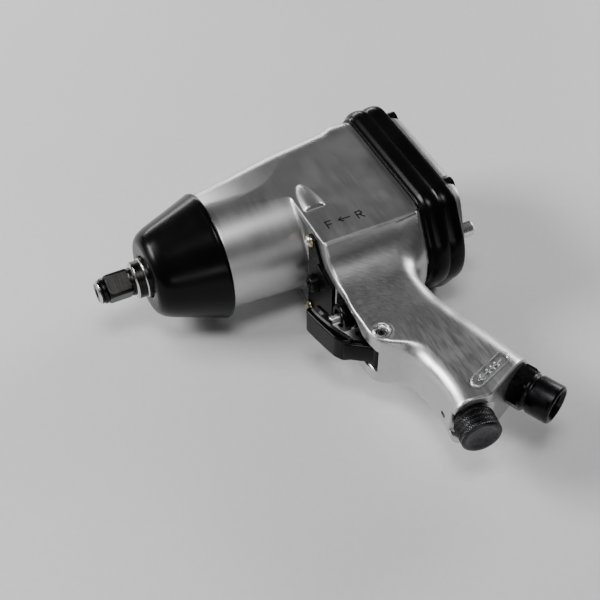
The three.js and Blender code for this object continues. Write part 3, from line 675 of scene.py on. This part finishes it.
def surface(field, low, high, step):
    """A closed quad mesh of a distance field's surface, with each point moved onto it."""
    axes = [np.arange(a, b + step, step) for a, b in zip(low, high)]
    shape = tuple(len(axis) for axis in axes)
    values = np.empty(shape, np.float32)
    ys, zs = np.meshgrid(axes[1], axes[2], indexing="ij")
    for row, x in enumerate(axes[0]):
        layer = np.stack([np.full_like(ys, x), ys, zs], -1)
        values[row] = field(layer.reshape(-1, 3)).reshape(ys.shape)
    inside = values < 0
    cells = tuple(n - 1 for n in shape)
    corners = list(product((0, 1), repeat=3))
    count = sum(
        inside[i : i + cells[0], j : j + cells[1], k : k + cells[2]].astype(np.int8)
        for i, j, k in corners
    )
    active = (count > 0) & (count < 8)
    index = np.full(cells, -1, np.int64)
    start = np.argwhere(active)
    index[active] = np.arange(len(start))
    total, hits = np.zeros((len(start), 3)), np.zeros(len(start))
    for a, b in product(corners, corners):
        if a < b and sum(abs(p - q) for p, q in zip(a, b)) == 1:
            at_a, at_b = start + a, start + b
            va, vb = values[tuple(at_a.T)], values[tuple(at_b.T)]
            crossing = (va < 0) != (vb < 0)
            t = np.where(crossing, va / np.where(crossing, va - vb, 1), 0)
            total += np.where(crossing[:, None], np.array(a) + t[:, None] * (np.array(b) - a), 0)
            hits += crossing
    points = np.array(low) + step * (start + total / hits[:, None])
    faces = []
    for axis in range(3):
        other = [k for k in range(3) if k != axis]
        first = [slice(1, -1)] * 3
        second = [slice(1, -1)] * 3
        first[axis], second[axis] = slice(0, -1), slice(1, None)
        here, there = inside[tuple(first)], inside[tuple(second)]
        for turn, mask in ((False, here & ~there), (True, ~here & there)):
            at = np.argwhere(mask)
            for k in other:
                at[:, k] += 1
            quad = []
            for u, v in ((-1, -1), (0, -1), (0, 0), (-1, 0)):
                cell = at.copy()
                cell[:, other[0]] += u
                cell[:, other[1]] += v
                quad.append(index[tuple(cell.T)])
            flip = turn != (axis == 1)
            faces.append(np.stack(quad[::-1] if flip else quad, 1))
    faces = np.concatenate(faces)
    reach = 0.05
    for _ in range(3):
        here = field(points)
        slope = np.stack([(field(points + reach * e) - here) / reach for e in np.eye(3)], 1)
        move = here[:, None] * slope / np.maximum((slope**2).sum(1), 0.2)[:, None]
        points -= np.clip(move, -0.6 * step, 0.6 * step)
    return points, faces


FIELD_STEP = 0.81


def mirrored(half_outline):
    """A closed (y, z) outline from its z > 0 half, which starts and ends off the middle."""
    return [*half_outline, *[(y, -z) for y, z in half_outline[::-1]]]


def plate_seat():
    """The shallow seat of the trigger plate: the plate's outline up to the barrel's arc."""
    reach = BARREL_R + 2.8
    arch = [(-math.sqrt(reach**2 - z * z), z) for z in np.linspace(26.9, 0.7, 24)]
    outline = mirrored([(-59.5, 12.0), (-47.6, 15.2), (-38.6, 26.9), *arch])
    return loft([at_x(x, outline) for x in (SLAB_X - 8, SLAB_X + 1.2)])


def pocket():
    """The slot behind the trigger, with a chamfered mouth and narrower round the pin."""
    rings = []
    for x, grow in ((SLAB_X - 10, 0.7), (SLAB_X, 0.7), (SLAB_X + 0.7, 0), (55, 0)):
        outline = [(-101.9 - grow, HUB_HALF + 0.6 + grow), (-89, HUB_HALF + 0.6 + grow),
                   (-82, 11.5 + grow), (-60.5 + grow, 11.5 + grow)]
        rings.append(at_x(x, mirrored(outline)))
    return loft(rings)


SLOT_Y = -139.4


def housing():
    low = (-32.5, INLET_FACE[1] - 22, -33.0)
    high = (REAR_X + 1, TOP_Y + 1.5, FLAT_Z + 4.5)
    points, faces = surface(casting_field, low, high, FIELD_STEP)
    casting = piece(
        "housing_casting", points, faces.tolist(), ALUMINIUM, "casing", "casting", ["housing"], 180
    )
    behind = REAR_X + 1
    core = lathe([
        (-33.5, 0), (-33.5, 14.5), (-4.6, 14.5), (-4.6, 21.5), (1, 25.6), (40.6, 25.6),
        (40.6, 26.2), (behind, 26.2), (behind, 0),
    ])
    throttle_bore = lathe(
        [(50, 0), (50, 6.1), (58, 6.1), (58, 8), (76, 8), (76, 0)], 48, (THROTTLE_Y, 0))
    inlet_bore = lathe([(-82, 0), (-82, 6.5), (-15, 6.5), (-15, 9.9), (2, 9.9), (2, 0)], 48)
    knob_bore = drill(-48, 2, 6, segments=48)
    # A short slot in the front of the handle, near the knob.
    slot = drill(50, 61, 1.5, (SLOT_Y, -4))
    slot[0][:, 1] = np.where(slot[0][:, 1] > SLOT_Y, slot[0][:, 1], slot[0][:, 1] - 0.8)
    cuts = [
        core, drill(30, behind, 6.2, (ROD_Y, 0), 48), throttle_bore, slot,
        (hung(inlet_bore[0], INLET_FACE, INLET_WAY), inlet_bore[1]),
        (hung(knob_bore[0], KNOB_FACE, KNOB_WAY), knob_bore[1]),
        plate_seat(), pocket(),
    ]
    cuts += [drill(92, behind, 2.8, screw[1:]) for screw in SCREWS]
    cuts += [drill(SLAB_X - 3, SLAB_X + 9, 1.9, screw[1:]) for screw in PLATE_SCREWS]
    cut_away(casting, cuts, 50)


def nose_boot():
    inside = BARREL_R - 0.6 + GAP
    profile = rounded([
        (-35.6, 11.4), (-36, 12.4), (-36, 18), (-35.2, 20), (-33, 22.2), (-29, 24.2), (-16, 28.7),
        (-4, 33), (-2.4, 33.7), (-0.8, 33.5), (0, 32.4), (0, BARREL_R + GAP), (-0.8, inside),
        (-27.8, 21), (-31.8, 17.8), (-31.8, 11.4), (-35.6, 11.4),
    ], 1.6, 4)
    points, faces = lathe(profile, 144)
    piece("nose_boot_skin", points, faces, RUBBER, "casing", "black_rubber", ["nose_boot"], 60)


def rib_height(x):
    """How far the bumper stands out of the casting, from its front edge at x = 0."""
    ribs = max(math.sqrt(max(0.0, 1 - ((x - crest) / 5.0) ** 2)) for crest in (6.9, 15.5))
    ends = min(1.0, math.sqrt(max(0.0, min(x, 20.6 - x) / 1.6)))
    return 0.4 + ends * (1.1 + 2.45 * ribs)


def rear_bumper():
    x0 = RECESS_X + GAP
    long = BAND_END_X - x0
    steps = [0, 0.12, 0.3, 0.6, 1.0, 1.6, 2.2, *np.arange(3, 18, 0.45)]
    steps += [18.4, 19, 19.6, 20, 20.3, 20.48, 20.6]
    outer = [at_x(x0 + s, shield(rib_height(s), 5)) for s in steps if s <= long]
    inner = [at_x(x, shield(GAP - RECESS_IN, 5)) for x in (x0, x0 + long)]
    skin = tube(outer, inner)
    piece("rear_bumper_skin", *skin, RUBBER, "casing", "black_rubber", ["rear_bumper"], 45)


FLANGE_X = 118.0  # the face of the cover that the screws' washers bear on


def rear_cover():
    x0 = REAR_X + 2 * GAP + 0.8
    top = span("rear_cover")[1][0]
    edges = [(x0, 0.0), (FLANGE_X - 0.4, 0.0), (FLANGE_X, 0.25)]
    for i in range(1, 13):
        a = i / 12 * math.pi / 2
        sunk = 0.4 + 7.5 * (1 - math.cos(a)) ** 1.2
        edges.append((FLANGE_X + (top - FLANGE_X) * math.sin(a), sunk))
    crown = loft([at_x(x, shield(-RECESS_IN - sunk)) for x, sunk in edges])
    cover = piece(
        "rear_cover_casting", *crown, COVER_ALUMINIUM, "casing", "casting", ["rear_cover"], 40)
    cuts = [
        plate([(FLANGE_X, -62), (top + 1, -8), (top + 3, -62)], -40, 40),
        lathe([(x0 - 2, 0), (x0 - 2, 16), (x0 + 2.5, 14), (x0 + 2.5, 0)], 64),
        drill(x0 - 1, top + 1, 4.8, (ROD_Y, 0), 48),
    ]
    for screw in SCREWS:
        sink = [(FLANGE_X, 0), (FLANGE_X, 5), (top + 3, 5.6), (top + 3, 0)]
        cuts.append(lathe(sink, 40, screw[1:]))
        cuts.append(drill(x0 - 1, FLANGE_X + 1, 2.8, screw[1:], 32))
    cut_away(cover, cuts, 30)
    spigot = lathe(closed([(102.6, 20), (102.6, 25.9), (x0 - 0.02, 25.9), (x0 - 0.02, 20)]), 96)
    piece("rear_cover_spigot", *spigot, COVER_ALUMINIUM, "casing", "casting")


def cover_screws():
    head = FLANGE_X + 1.4
    body = rounded([
        (RECESS_X - 2, 0), (RECESS_X - 2, 1.9), (RECESS_X - 1.2, 2.5), (head, 2.5), (head, 4.2),
        (head + 5, 4.2), (head + 5, 2.45), (head + 4.6, 2.3), (head + 2.2, 2.3), (head + 2.0, 0),
    ], 0.35)
    near, far = FLANGE_X + GAP, FLANGE_X + 1.1
    washer = closed(rounded(
        [(near, 2.75), (near, 4.2), (far, 4.2), (far, 2.75), (near, 2.75)], 0.15))
    for number, screw in enumerate(SCREWS, 1):
        centre = screw[1:]
        points, faces = lathe(body, 72, centre)
        # The socket is six-sided and the head's side is straight-knurled.
        reach = points[:, 1:] - centre
        radius, angle = np.hypot(*reach.T), np.arctan2(reach[:, 1], reach[:, 0])
        socket = (points[:, 0] > head + 1.9) & (radius < 2.5) & (radius > 0.1)
        six = 1 / np.cos((angle % (math.pi / 3)) - math.pi / 6)
        scale = np.where(socket, six * 0.93, 1.0)
        side = (points[:, 0] > head + 0.7) & (points[:, 0] < head + 4.3) & (radius > 4.1)
        scale = np.where(side, 1 - 0.02 * (np.arange(len(points)) % 2), scale)
        points[:, 1:] = centre + reach * scale[:, None]
        name = f"cover_screw_{number}"
        finish = (BLACK_STEEL, "casing", "black_oxide")
        piece(f"{name}_socket_head", points, faces, *finish, [name], 30)
        name = f"cover_washer_{number}"
        ring = lathe(washer, 48, centre)
        thing = piece(f"{name}_split", *ring, BLACK_STEEL, "casing", "dark_steel", [name], 40)
        cut_away(thing, [(ring_slot(*centre), BOX_FACES)], 30)


BOX_FACES = [[0, 1, 3, 2], [4, 6, 7, 5], [0, 4, 5, 1], [2, 3, 7, 6], [0, 2, 6, 4], [1, 5, 7, 3]]


def box_points(x0, x1, y0, y1, z0, z1):
    return np.array(list(product((x0, x1), (y0, y1), (z0, z1))), float)


def ring_slot(y, z):
    """A slanting slot through one side of a spring washer."""
    points = box_points(FLANGE_X, FLANGE_X + 1.4, y - 0.3, y + 0.3, z, z + 6)
    points[4:, 1] += 0.8
    return points


# ---- the drive
TIP_X = span("anvil")[0][0]
SQUARE = 12.7
SQUARE_TURN = 0.52  # radians: how the square stands in the photograph


def anvil():
    x = TIP_X
    shaft = [
        (x + 3, 0), (x, 2.55), (x, 4.9), (x + 1.1, 6), (x + 2.3, 6), (x + 2.3, 3.7), (x + 5, 3.7),
        (x + 5, 5.9), (-46, 5.9), (-44.6, 7.2), (-43, 7.2), (-43, 8.4), (-42, 9.6), (-38, 9.6),
        (-37.4, 10.4), (-34, 10.8), (-4.2, 10.8), (-4.2, 13.4), (-1, 13.4), (-1, 10.8),
        (29.5, 10.8), (30.5, 9.8), (30.5, 0),
    ]
    points, faces = lathe(rounded(shaft, 0.25), 120)
    place = np.stack([points[:, 0], np.hypot(points[:, 1], points[:, 2])], 1)
    along, radius = np.array([place[face].mean(0) for face in faces]).T
    # The tip's rim and the two chamfers behind it are lighter: a painted highlight on those edges.
    highlighted_chamfers = (along < TIP_X + 1.15) & (radius > 4.8)
    highlighted_chamfers |= (along > -43.02) & (along < -42.0)
    highlighted_chamfers |= (along > -37.9) & (along < -37.3)
    piece(
        "anvil_shaft", points, faces, [ANVIL_STEEL, CHAMFER_HIGHLIGHT_STEEL], "anvil_set", "dark_steel",
        ["anvil"], 28, highlighted_chamfers.astype(int).tolist(),
    )
    # The square: straight flats whose corners are turned off to the chamfer cones.
    profile = [
        (x + 5.02, 6.9), (x + 5.3, 7.5), (x + 6.2, 8.2), (x + 7, 8.4),
        (-46, 8.4), (-45.2, 8.0), (-44.62, 7.2),
    ]
    angles = np.linspace(0, 2 * math.pi, 160, endpoint=False)
    flat = SQUARE / 2 / np.maximum(np.abs(np.cos(angles)), np.abs(np.sin(angles)))
    turned = angles + SQUARE_TURN
    rings = [turned_ring(px, soft_min(flat, np.full_like(flat, corner), 0.25), turned)
             for px, corner in profile]
    piece("anvil_square", *loft(rings), ANVIL_STEEL, "anvil_set", "dark_steel", (), 24)


def friction_ring():
    near, far = TIP_X + 2.6, TIP_X + 4.7
    section = [(near, 5.05), (near, 6.6), (far, 6.6), (far, 5.05), (near, 5.05)]
    ring = lathe(closed(rounded(section, 0.5)), 96)
    thing = piece(
        "friction_ring_split", *ring, BLACK_STEEL, "anvil_set", "black_oxide",
        ["friction_ring"], 40)
    cut_away(thing, [(box_points(TIP_X, TIP_X + 6, 0, 9, -0.8, 0.8), BOX_FACES)], 30)


# ---- trigger and throttle
TRIGGER_HALF = 7.2
HUB_R, HUB_BORE_R = 4.2, 2.75


def trigger():
    px, py = PIVOT[:2]
    corners = [
        (25.8, -60.6), (24.4, -63), (25.6, -70), (27.4, -78), (29, -84.5), (31.4, -88.4),
        (35, -90), (37, -88.6), (35.6, -85), (32, -76), (29.4, -66), (28.8, -61.4),
    ]
    finger = rounded([corners[-1], *corners, corners[0]], 1.2, 5)[1:-1]
    eye = [(px + HUB_R * math.cos(a), py + HUB_R * math.sin(a))
           for a in np.radians(np.linspace(240, 400, 20))]
    leg = [(34, -86), (31.4, -88.4), (35.5, -91.8), (41, -95.6), *eye, (px - 5, py + 6)]
    finish = (PLASTIC, "trigger_lever", "black_plastic")
    skin = plate(finger, -TRIGGER_HALF, TRIGGER_HALF)
    blade = piece("trigger_lever", *skin, *finish, ["trigger"])
    apply_modifiers(bevelled(blade, 2.3, 5, 40))
    sunk_sides(blade, 0.8, 0.8)
    bevelled(blade, 0.2, 2, 40)
    half = TRIGGER_HALF - 1.7
    arm = piece("trigger_arm", *plate(leg, -half, half), *finish)
    apply_modifiers(bevelled(arm, 0.8, 3, 45))
    sunk_sides(arm, 0.8, 0.7)
    hole = drill(-20, 20, HUB_BORE_R, segments=40)
    cut_away(arm, [(upright(hole[0]), hole[1])], 35)
    end = [(0, HUB_BORE_R), (0, 3.7), (0.5, HUB_R)]
    hub = [(x - HUB_HALF, r) for x, r in end] + [(HUB_HALF - x, r) for x, r in end[::-1]]
    points, faces = lathe(closed(hub), 64)
    piece("trigger_hub", upright(points), faces, *finish, (), 40)
    block = box_points(29.5, 33.9, THROTTLE_Y - 3.5, THROTTLE_Y + 3.5, -3.2, 3.2)
    bevelled(piece("trigger_presser", block, BOX_FACES, *finish), 0.7, 3)


def upright(points):
    """Points turned about X, stood along Z at the trigger's pin."""
    return np.stack([points[:, 1] + PIVOT[0], points[:, 2] + PIVOT[1], points[:, 0]], 1)


def sunk_sides(thing, rim, depth):
    """Sinks a piece's two flat sides inside a narrow rim."""
    bm = bmesh.new()
    bm.from_mesh(thing.data)
    sides = [f for f in bm.faces if abs(f.normal.z) > 0.99]
    bmesh.ops.inset_region(
        bm, faces=sides, thickness=rim * MM, depth=-depth * MM, use_even_offset=True)
    bm.to_mesh(thing.data)
    bm.free()


PLATE_X, PLATE_BACK = SLAB_X - 1.6, SLAB_X + 0.9


def trigger_plate():
    x0, x1 = PLATE_X, PLATE_BACK
    finish = (PLASTIC, "casing", "black_plastic")
    left = [(-59.2, 0), (-59.2, 11.6), (-47.5, 14.8), (-38.6, 26.4), (-33, 26.4)]
    outline = [*left, *[(y, -z) for y, z in left[:0:-1]]]
    blank = loft([at_x(x, outline) for x in (x0, x1)])
    blank = piece("trigger_plate_moulding", *blank, *finish, ["trigger_plate"])
    cuts = [
        drill(x0 - 2, x1 + 2, BARREL_R + 3.1, segments=160),
        drill(x0 - 2, x1 + 2, 4.9, (ROD_Y, 0), 48),
    ]
    cuts += [drill(x0 - 2, x1 + 2, 2.2, screw[1:], 32) for screw in PLATE_SCREWS]
    cut_away(blank, cuts, 30)
    bevelled(blank, 0.35, 2, 40)
    for number, side in enumerate((1, -1), 1):
        bar = [(-43.5, 15.4), (-44.6, 14.2), (-54.5, 10.8), (-56.2, 11.6)]
        bar = [(y, side * z) for y, z in bar]
        rib = loft([at_x(x, bar) for x in (x0 - 0.8, x0 + 0.2)])
        bevelled(piece(f"trigger_plate_rib_{number}", *rib, *finish), 0.3, 2, 40)


def plate_screws():
    x = PLATE_X - GAP
    profile = [
        (x - 2.3, 0), (x - 2.25, 0.8), (x - 2.05, 1.7), (x - 1.5, 2.6), (x - 0.7, 3.15),
        (x, 3.3), (x, 1.6), (SLAB_X + 7.4, 1.6), (SLAB_X + 8, 1.1), (SLAB_X + 8, 0),
    ]
    for number, screw in enumerate(PLATE_SCREWS, 1):
        y, z = screw[1:]
        name = f"plate_screw_{number}"
        skin = lathe(profile, 56, (y, z))
        thing = piece(f"{name}_cross_head", *skin, ZINC, "casing", "yellow_zinc", [name])
        cuts = []
        for wide, tall in ((0.42, 1.9), (1.9, 0.42)):
            wedge = box_points(x - 3, x - 0.9, y - wide, y + wide, z - tall, z + tall)
            wedge[4:, 1:] = [y, z] + (wedge[4:, 1:] - [y, z]) * 0.55
            cuts.append((wedge, BOX_FACES))
        cut_away(thing, cuts, 28)
        # The faces inside the cross are dark: painted shade in the recess.
        thing.data.materials.append(PAINTED_SHADE)
        for face in thing.data.polygons:
            centre = np.abs(local(face.center) - [x - 1.5, y, z])
            if centre[0] < 0.7 and centre[1:].max() < 1.85 and centre[1:].min() < 0.5:
                face.material_index = 1


def throttle():
    centre = (THROTTLE_Y, 0)
    bush = rounded([
        (39.6, 2.9), (39.6, 6.6), (40.4, 7.4), (43, 7.4), (43, 6.4), (45, 6.4), (45, 7.4),
        (54.7, 7.4), (54.7, 5.8), (57.6, 5.8), (57.6, 2.9), (41.4, 2.9), (41.2, 4.6), (39.6, 4.8),
    ], 0.25)
    piece(
        "throttle_bush_turned", *lathe(closed(bush[1:]), 96, centre), PLASTIC, "casing",
        "black_plastic", ["throttle_bush"], 40)
    stem = rounded([
        (34.3, 0), (34.3, 2), (34.9, 2.6), (47, 2.6), (47, 2.1), (48.6, 2.1), (48.6, 2.6),
        (58.4, 2.6), (58.4, 5.4), (60, 6.2), (62, 6.2), (62.6, 5.6), (62.6, 0),
    ], 0.3)
    piece(
        "throttle_stem_ground", *lathe(stem, 64, centre), BRIGHT_STEEL, "throttle",
        "bright_steel", ["throttle_stem"], 35)


def trigger_pin():
    """A rolled pin with its slit and chamfered ends, standing across the handle."""
    half = span("trigger_pin")[1][2]
    outer, inner = 2.4, 1.5
    end = [(half, inner), (half, outer - 0.35), (half - 0.6, outer)]
    profile = [(-z, r) for z, r in end] + end[::-1]
    count, slit = 56, 0.16
    turns = np.linspace(slit, 2 * math.pi - slit, count)
    points, faces = [], []
    for z, r in profile:
        points += [(PIVOT[0] + r * math.cos(a), PIVOT[1] + r * math.sin(a), z) for a in turns]
    starts = [i * count for i in range(len(profile))]
    for here, there in zip(starts, starts[1:] + starts[:1]):
        faces += [[here + k, here + k + 1, there + k + 1, there + k] for k in range(count - 1)]
    faces.append(starts)
    faces.append([start + count - 1 for start in starts[::-1]])
    finish = (BRIGHT_STEEL, "casing", "bright_steel")
    piece("trigger_roll_pin", points, faces, *finish, ["trigger_pin"], 35)


def reverse_rod():
    low, high = span("reverse_valve")
    r = (high[2] - low[2]) / 2
    x0, x1 = low[0], high[0]
    profile = rounded([
        (x0 + 1.2, 0), (x0 + 1.2, 1.5), (x0, 1.7), (x0, r - 0.5), (x0 + 0.5, r), (56, r),
        (56, 3.2), (60, 3.2), (60, r), (66, r), (66, 3.2), (72, 3.2), (72, r), (x1 - 1.0, r),
        (x1, r - 1.0), (x1, 0),
    ], 0.25)
    points, faces = lathe(profile, 72, (ROD_Y, 0))
    dark = [int(np.mean(points[face, 0]) < 60) for face in faces]
    piece(
        "reverse_rod_ground", points, faces, [BRIGHT_STEEL, BLACK_STEEL], "reverser",
        "bright_steel", ["reverse_valve"], 35, dark)


# ---- regulator and inlet
KNOB_R = 10.0
KNOB_LONG = 13.5


def regulator_knob():
    """A cylinder with a diamond knurl on its side and a dished end."""
    pitches, count = 46, 46 * 6
    turns = np.arange(count) * 2 * math.pi / count
    start, end = 3.2, KNOB_LONG - 0.9
    rise = (end - start) / (2 * math.pi * KNOB_R / pitches)
    neck = ((GAP, 2.2), (GAP + 0.2, 1.5), (1.6, 1.2), (2.6, 1.2), (3.0, 0.6))
    dish = ((0.7, 0.15), (0.1, 0.8), (0, 1.3), (0, 2.3), (0.4, 3.0), (1.3, 4.6), (1.7, 7))
    rings = [turned_ring(GAP + 1.0, 0.3, turns)]
    rings += [turned_ring(x, KNOB_R - inset, turns) for x, inset in neck]
    for x in np.linspace(start, end, 46):
        t = (x - start) / (end - start)
        u = turns / (2 * math.pi) * pitches
        a, b = (u + rise * t) % 1, (u - rise * t) % 1
        groove = np.minimum(np.minimum(a, 1 - a), np.minimum(b, 1 - b))
        fade = min(1.0, t / 0.04, (1 - t) / 0.04)
        depth = 0.55 * fade * (1 - np.clip(groove / 0.26, 0, 1))
        rings.append(turned_ring(x, KNOB_R - depth, turns))
    rings += [turned_ring(KNOB_LONG - back, KNOB_R - inset, turns) for back, inset in dish]
    rings.append(turned_ring(KNOB_LONG - 1.8, 0.3, turns))
    points, faces = loft(rings)
    points = hung(points, KNOB_FACE, KNOB_WAY)
    piece(
        "regulator_knob_knurled", points, faces, KNURL_STEEL, "regulator", "black_oxide",
        ["regulator_knob"], 32)


def inlet_bushing():
    finish = (BLACK_STEEL, "casing", "black_oxide")
    hex_end = 7.5
    end = hex_end + 14.5
    thread = []
    for i in range(10):
        x = end - 1.2 - i * 1.3
        thread += [(x, 7.25), (x - 0.65, 6.75)]
    profile = rounded([
        (-14, 6.2), (-14, 9), (-13.2, 9.5), (GAP, 9.5), (GAP + 7.4, 9.7), (hex_end + 1.0, 9.4),
        (hex_end + 1.6, 9.1), (hex_end + 2.4, 9.1), (hex_end + 3.0, 9.9), (end - 0.9, 9.9),
        (end, 9.0), (end, 8.1),
    ], 0.2) + thread + [(hex_end, 6.75), (hex_end, 6.2), (-14, 6.2)]
    points, faces = lathe(profile, 120)
    points = hung(points, INLET_FACE, INLET_WAY)
    piece("inlet_sleeve", points, faces, *finish, ["inlet_bushing"], 32)
    # The hexagon, with its corners chamfered to a cone at both ends.
    angles = np.arange(180) * 2 * math.pi / 180
    flat = 11.6 * math.cos(math.pi / 6) / np.cos((angles % (math.pi / 3)) - math.pi / 6)
    cones = ((GAP, 10.6), (GAP + 0.9, 11.7), (hex_end - 1.1, 11.7), (hex_end, 10.4))
    outer = [turned_ring(x, soft_min(flat, np.full_like(flat, cone), 0.1), angles)
             for x, cone in cones]
    inner = [turned_ring(x, 9.75, angles) for x in (GAP, hex_end)]
    points, faces = tube(outer, inner)
    piece("inlet_hexagon", hung(points, INLET_FACE, INLET_WAY), faces, *finish, (), 24)


# ---- marks on the casting
def obround(start, end, radius, steps=12):
    """An outline with round ends about two points."""
    turn = math.atan2(end[1] - start[1], end[0] - start[0])
    outline = []
    for (cx, cy), base in ((end, turn - math.pi / 2), (start, turn + math.pi / 2)):
        turns = [base + math.pi * i / steps for i in range(steps + 1)]
        outline += [(cx + radius * math.cos(a), cy + radius * math.sin(a)) for a in turns]
    return outline


def handle_label():
    """A raised border round a plain pad, with a generic arrow for the knob's turning."""
    low, high, radius, z = (71.5, -143.2), (89.2, -136.4), 3.5, 16.6
    finish = (RAISED_ALUMINIUM, "casing", "casting")
    edges = ((radius, (z - 0.5, z + 0.45)), (radius - 0.75, (z - 0.5, z + 0.45)))
    outer, inner = (
        [[(x, y, height) for x, y in obround(low, high, edge)] for height in heights]
        for edge, heights in edges)
    bevelled(piece("handle_label_border", *tube(outer, inner), *finish, (), 40), 0.18, 2, 40)
    along = np.array(high) - low
    along = along / np.linalg.norm(along)
    side = np.array([-along[1], along[0]])
    centre = (np.array(high) + low) / 2
    lines = [[(-8.5, 0), (7.5, 0)], [(-8.5, 0), (-6.2, 1.5)], [(-8.5, 0), (-6.2, -1.5)]]
    lines += [[(u, -1.2), (u, 1.2)] for u in (-1.5, 1.5, 4.5)]
    lines = [[tuple(centre + u * along + v * side) for u, v in line] for line in lines]
    for number, skin in enumerate(strokes(lines, z + 0.15), 1):
        bevelled(piece(f"handle_label_mark_{number}", *skin, *finish), 0.12, 2, 40)


STROKE = 0.7


def strokes(lines, z=FLAT_Z):
    """Closed bars along each line, which is a run of points, just proud of height z."""
    parts = []
    for line in lines:
        for start, end in zip(line, line[1:]):
            start, end = np.array(start), np.array(end)
            along = (end - start) / math.hypot(*(end - start)) * STROKE / 2
            side = np.array([-along[1], along[0]])
            outline = [start - along + side, start - along - side,
                       end + along - side, end + along + side]
            parts.append(plate([tuple(p) for p in outline], z - 0.3, z + 0.08))
    return parts


def direction_marks():
    """Plain F and R marks for the two positions of the reverse rod, with an arrow between, as dark bars: painted
    shade where engraved letters would be shaded.
    """
    def letter(lines, x, y, size):
        return [[(x + size * u, y + size * v) for u, v in line] for line in lines]

    f_lines = [[(0, 0), (0, 1), (0.6, 1)], [(0, 0.5), (0.5, 0.5)]]
    r_bowl = [(0, 0), (0, 1), (0.5, 1), (0.62, 0.78), (0.5, 0.52), (0, 0.52)]
    r_lines = [r_bowl, [(0.25, 0.52), (0.65, 0)]]
    arrow = [[(0, 0.5), tip] for tip in ((1.5, 0.5), (0.45, 0.85), (0.45, 0.15))]
    lines = letter(f_lines, 49.4, -37.4, 4.8) + letter(arrow, 56.4, -36.2, 4)
    lines += letter(r_lines, 66.2, -37.4, 4.8)
    for number, part in enumerate(strokes(lines), 1):
        piece(f"direction_mark_{number}", *part, PAINTED_SHADE, "casing", "casting")


def keep_cad_nodes():
    """Finishes and softened edges for the inner pieces, whose CAD shapes are kept."""
    looks = {
        "gasket_paper": GASKET, "bronze": BRONZE, "phenolic": PHENOLIC, "nitrile": NITRILE,
        "hardened_steel": HARD_STEEL, "bright_steel": BRIGHT_STEEL, "dark_steel": ANVIL_STEEL,
        "black_oxide": BLACK_STEEL, "black_plastic": PLASTIC, "yellow_zinc": ZINC,
    }
    for part in frame["record"]["subparts"]:
        thing = nodes[part["node"]]
        if thing.hide_render or part["material_slot"] not in looks:
            continue
        thing.data.materials.clear()
        thing.data.materials.append(looks[part["material_slot"]])
        bevelled(thing, 0.15, 2, 35)


# ---- floor, light and camera
SOFTBOXES = (  # name, place in metres, width, height, power
    ("key", (-0.95, 0.55, 0.75), 0.6, 0.36, 21),
    ("back", (0.1, 1.2, 0.2), 0.9, 0.12, 4.5),
    ("top", (-0.15, -0.25, 1.3), 0.5, 0.35, 7.5),
    ("front", (-0.25, -1.1, 0.35), 0.9, 0.10, 1.6),
    ("right", (1.0, 0.35, 0.42), 0.5, 0.3, 8),
)
LIT = Vector((0, 0, 0.03))  # where every softbox points


def studio():
    n = Nodes("pale_floor")
    grain = n.noise(n.place, 260, 4, 0.6)
    tone = n.blend(0.5, grain, n.noise(n.place, 5, 3, 0.5))
    color = n.colours(tone, (0.60, 0.60, 0.605), (0.66, 0.66, 0.662), 0.3, 0.7)
    n.finish(color, n.ranged(grain, 0.3, 0.7, 0.5, 0.65))
    mesh = bpy.data.meshes.new("floor")
    mesh.from_pydata([(-4, -4, 0), (4, -4, 0), (4, 4, 0), (-4, 4, 0)], [], [(0, 1, 2, 3)])
    mesh.materials.append(n.material)
    floor = placed("floor", mesh)
    world = bpy.data.worlds.new("studio")
    world.use_nodes = True
    background = world.node_tree.nodes["Background"].inputs
    background["Color"].default_value = (0.5, 0.5, 0.52, 1)
    background["Strength"].default_value = 0.10
    bpy.context.scene.world = world
    for name, place, width, height, power in SOFTBOXES:
        light = bpy.data.lights.new(name, "AREA")
        light.shape = "RECTANGLE"
        light.size, light.size_y, light.energy = width, height, power
        lamp = placed(name, light)
        lamp.location = place
        lamp.rotation_euler = (LIT - Vector(place)).to_track_quat("-Z", "Y").to_euler()


def camera():
    target, distance = Vector((-7.45, 11.09, 34.5)), 600.0
    azimuth, elevation = math.radians(-26.0), math.radians(47.0)
    data = bpy.data.cameras.new("camera")
    data.lens, data.sensor_width = 72.0, 36.0
    data.clip_start, data.clip_end = 0.01, 20
    level = math.cos(elevation)
    back = Vector((math.sin(azimuth) * level, -math.cos(azimuth) * level, math.sin(elevation)))
    eye = placed("camera", data)
    eye.location = (target + back * distance) * MM
    eye.rotation_mode = "QUATERNION"
    eye.rotation_quaternion = (-back).to_track_quat("-Z", "Y")
    bpy.context.scene.camera = eye


for build in (
    camera, studio, housing, nose_boot, rear_bumper, rear_cover, cover_screws, anvil,
    friction_ring, trigger, trigger_plate, plate_screws, throttle, trigger_pin, reverse_rod,
    regulator_knob, inlet_bushing, direction_marks, handle_label, keep_cad_nodes,
):
    build()
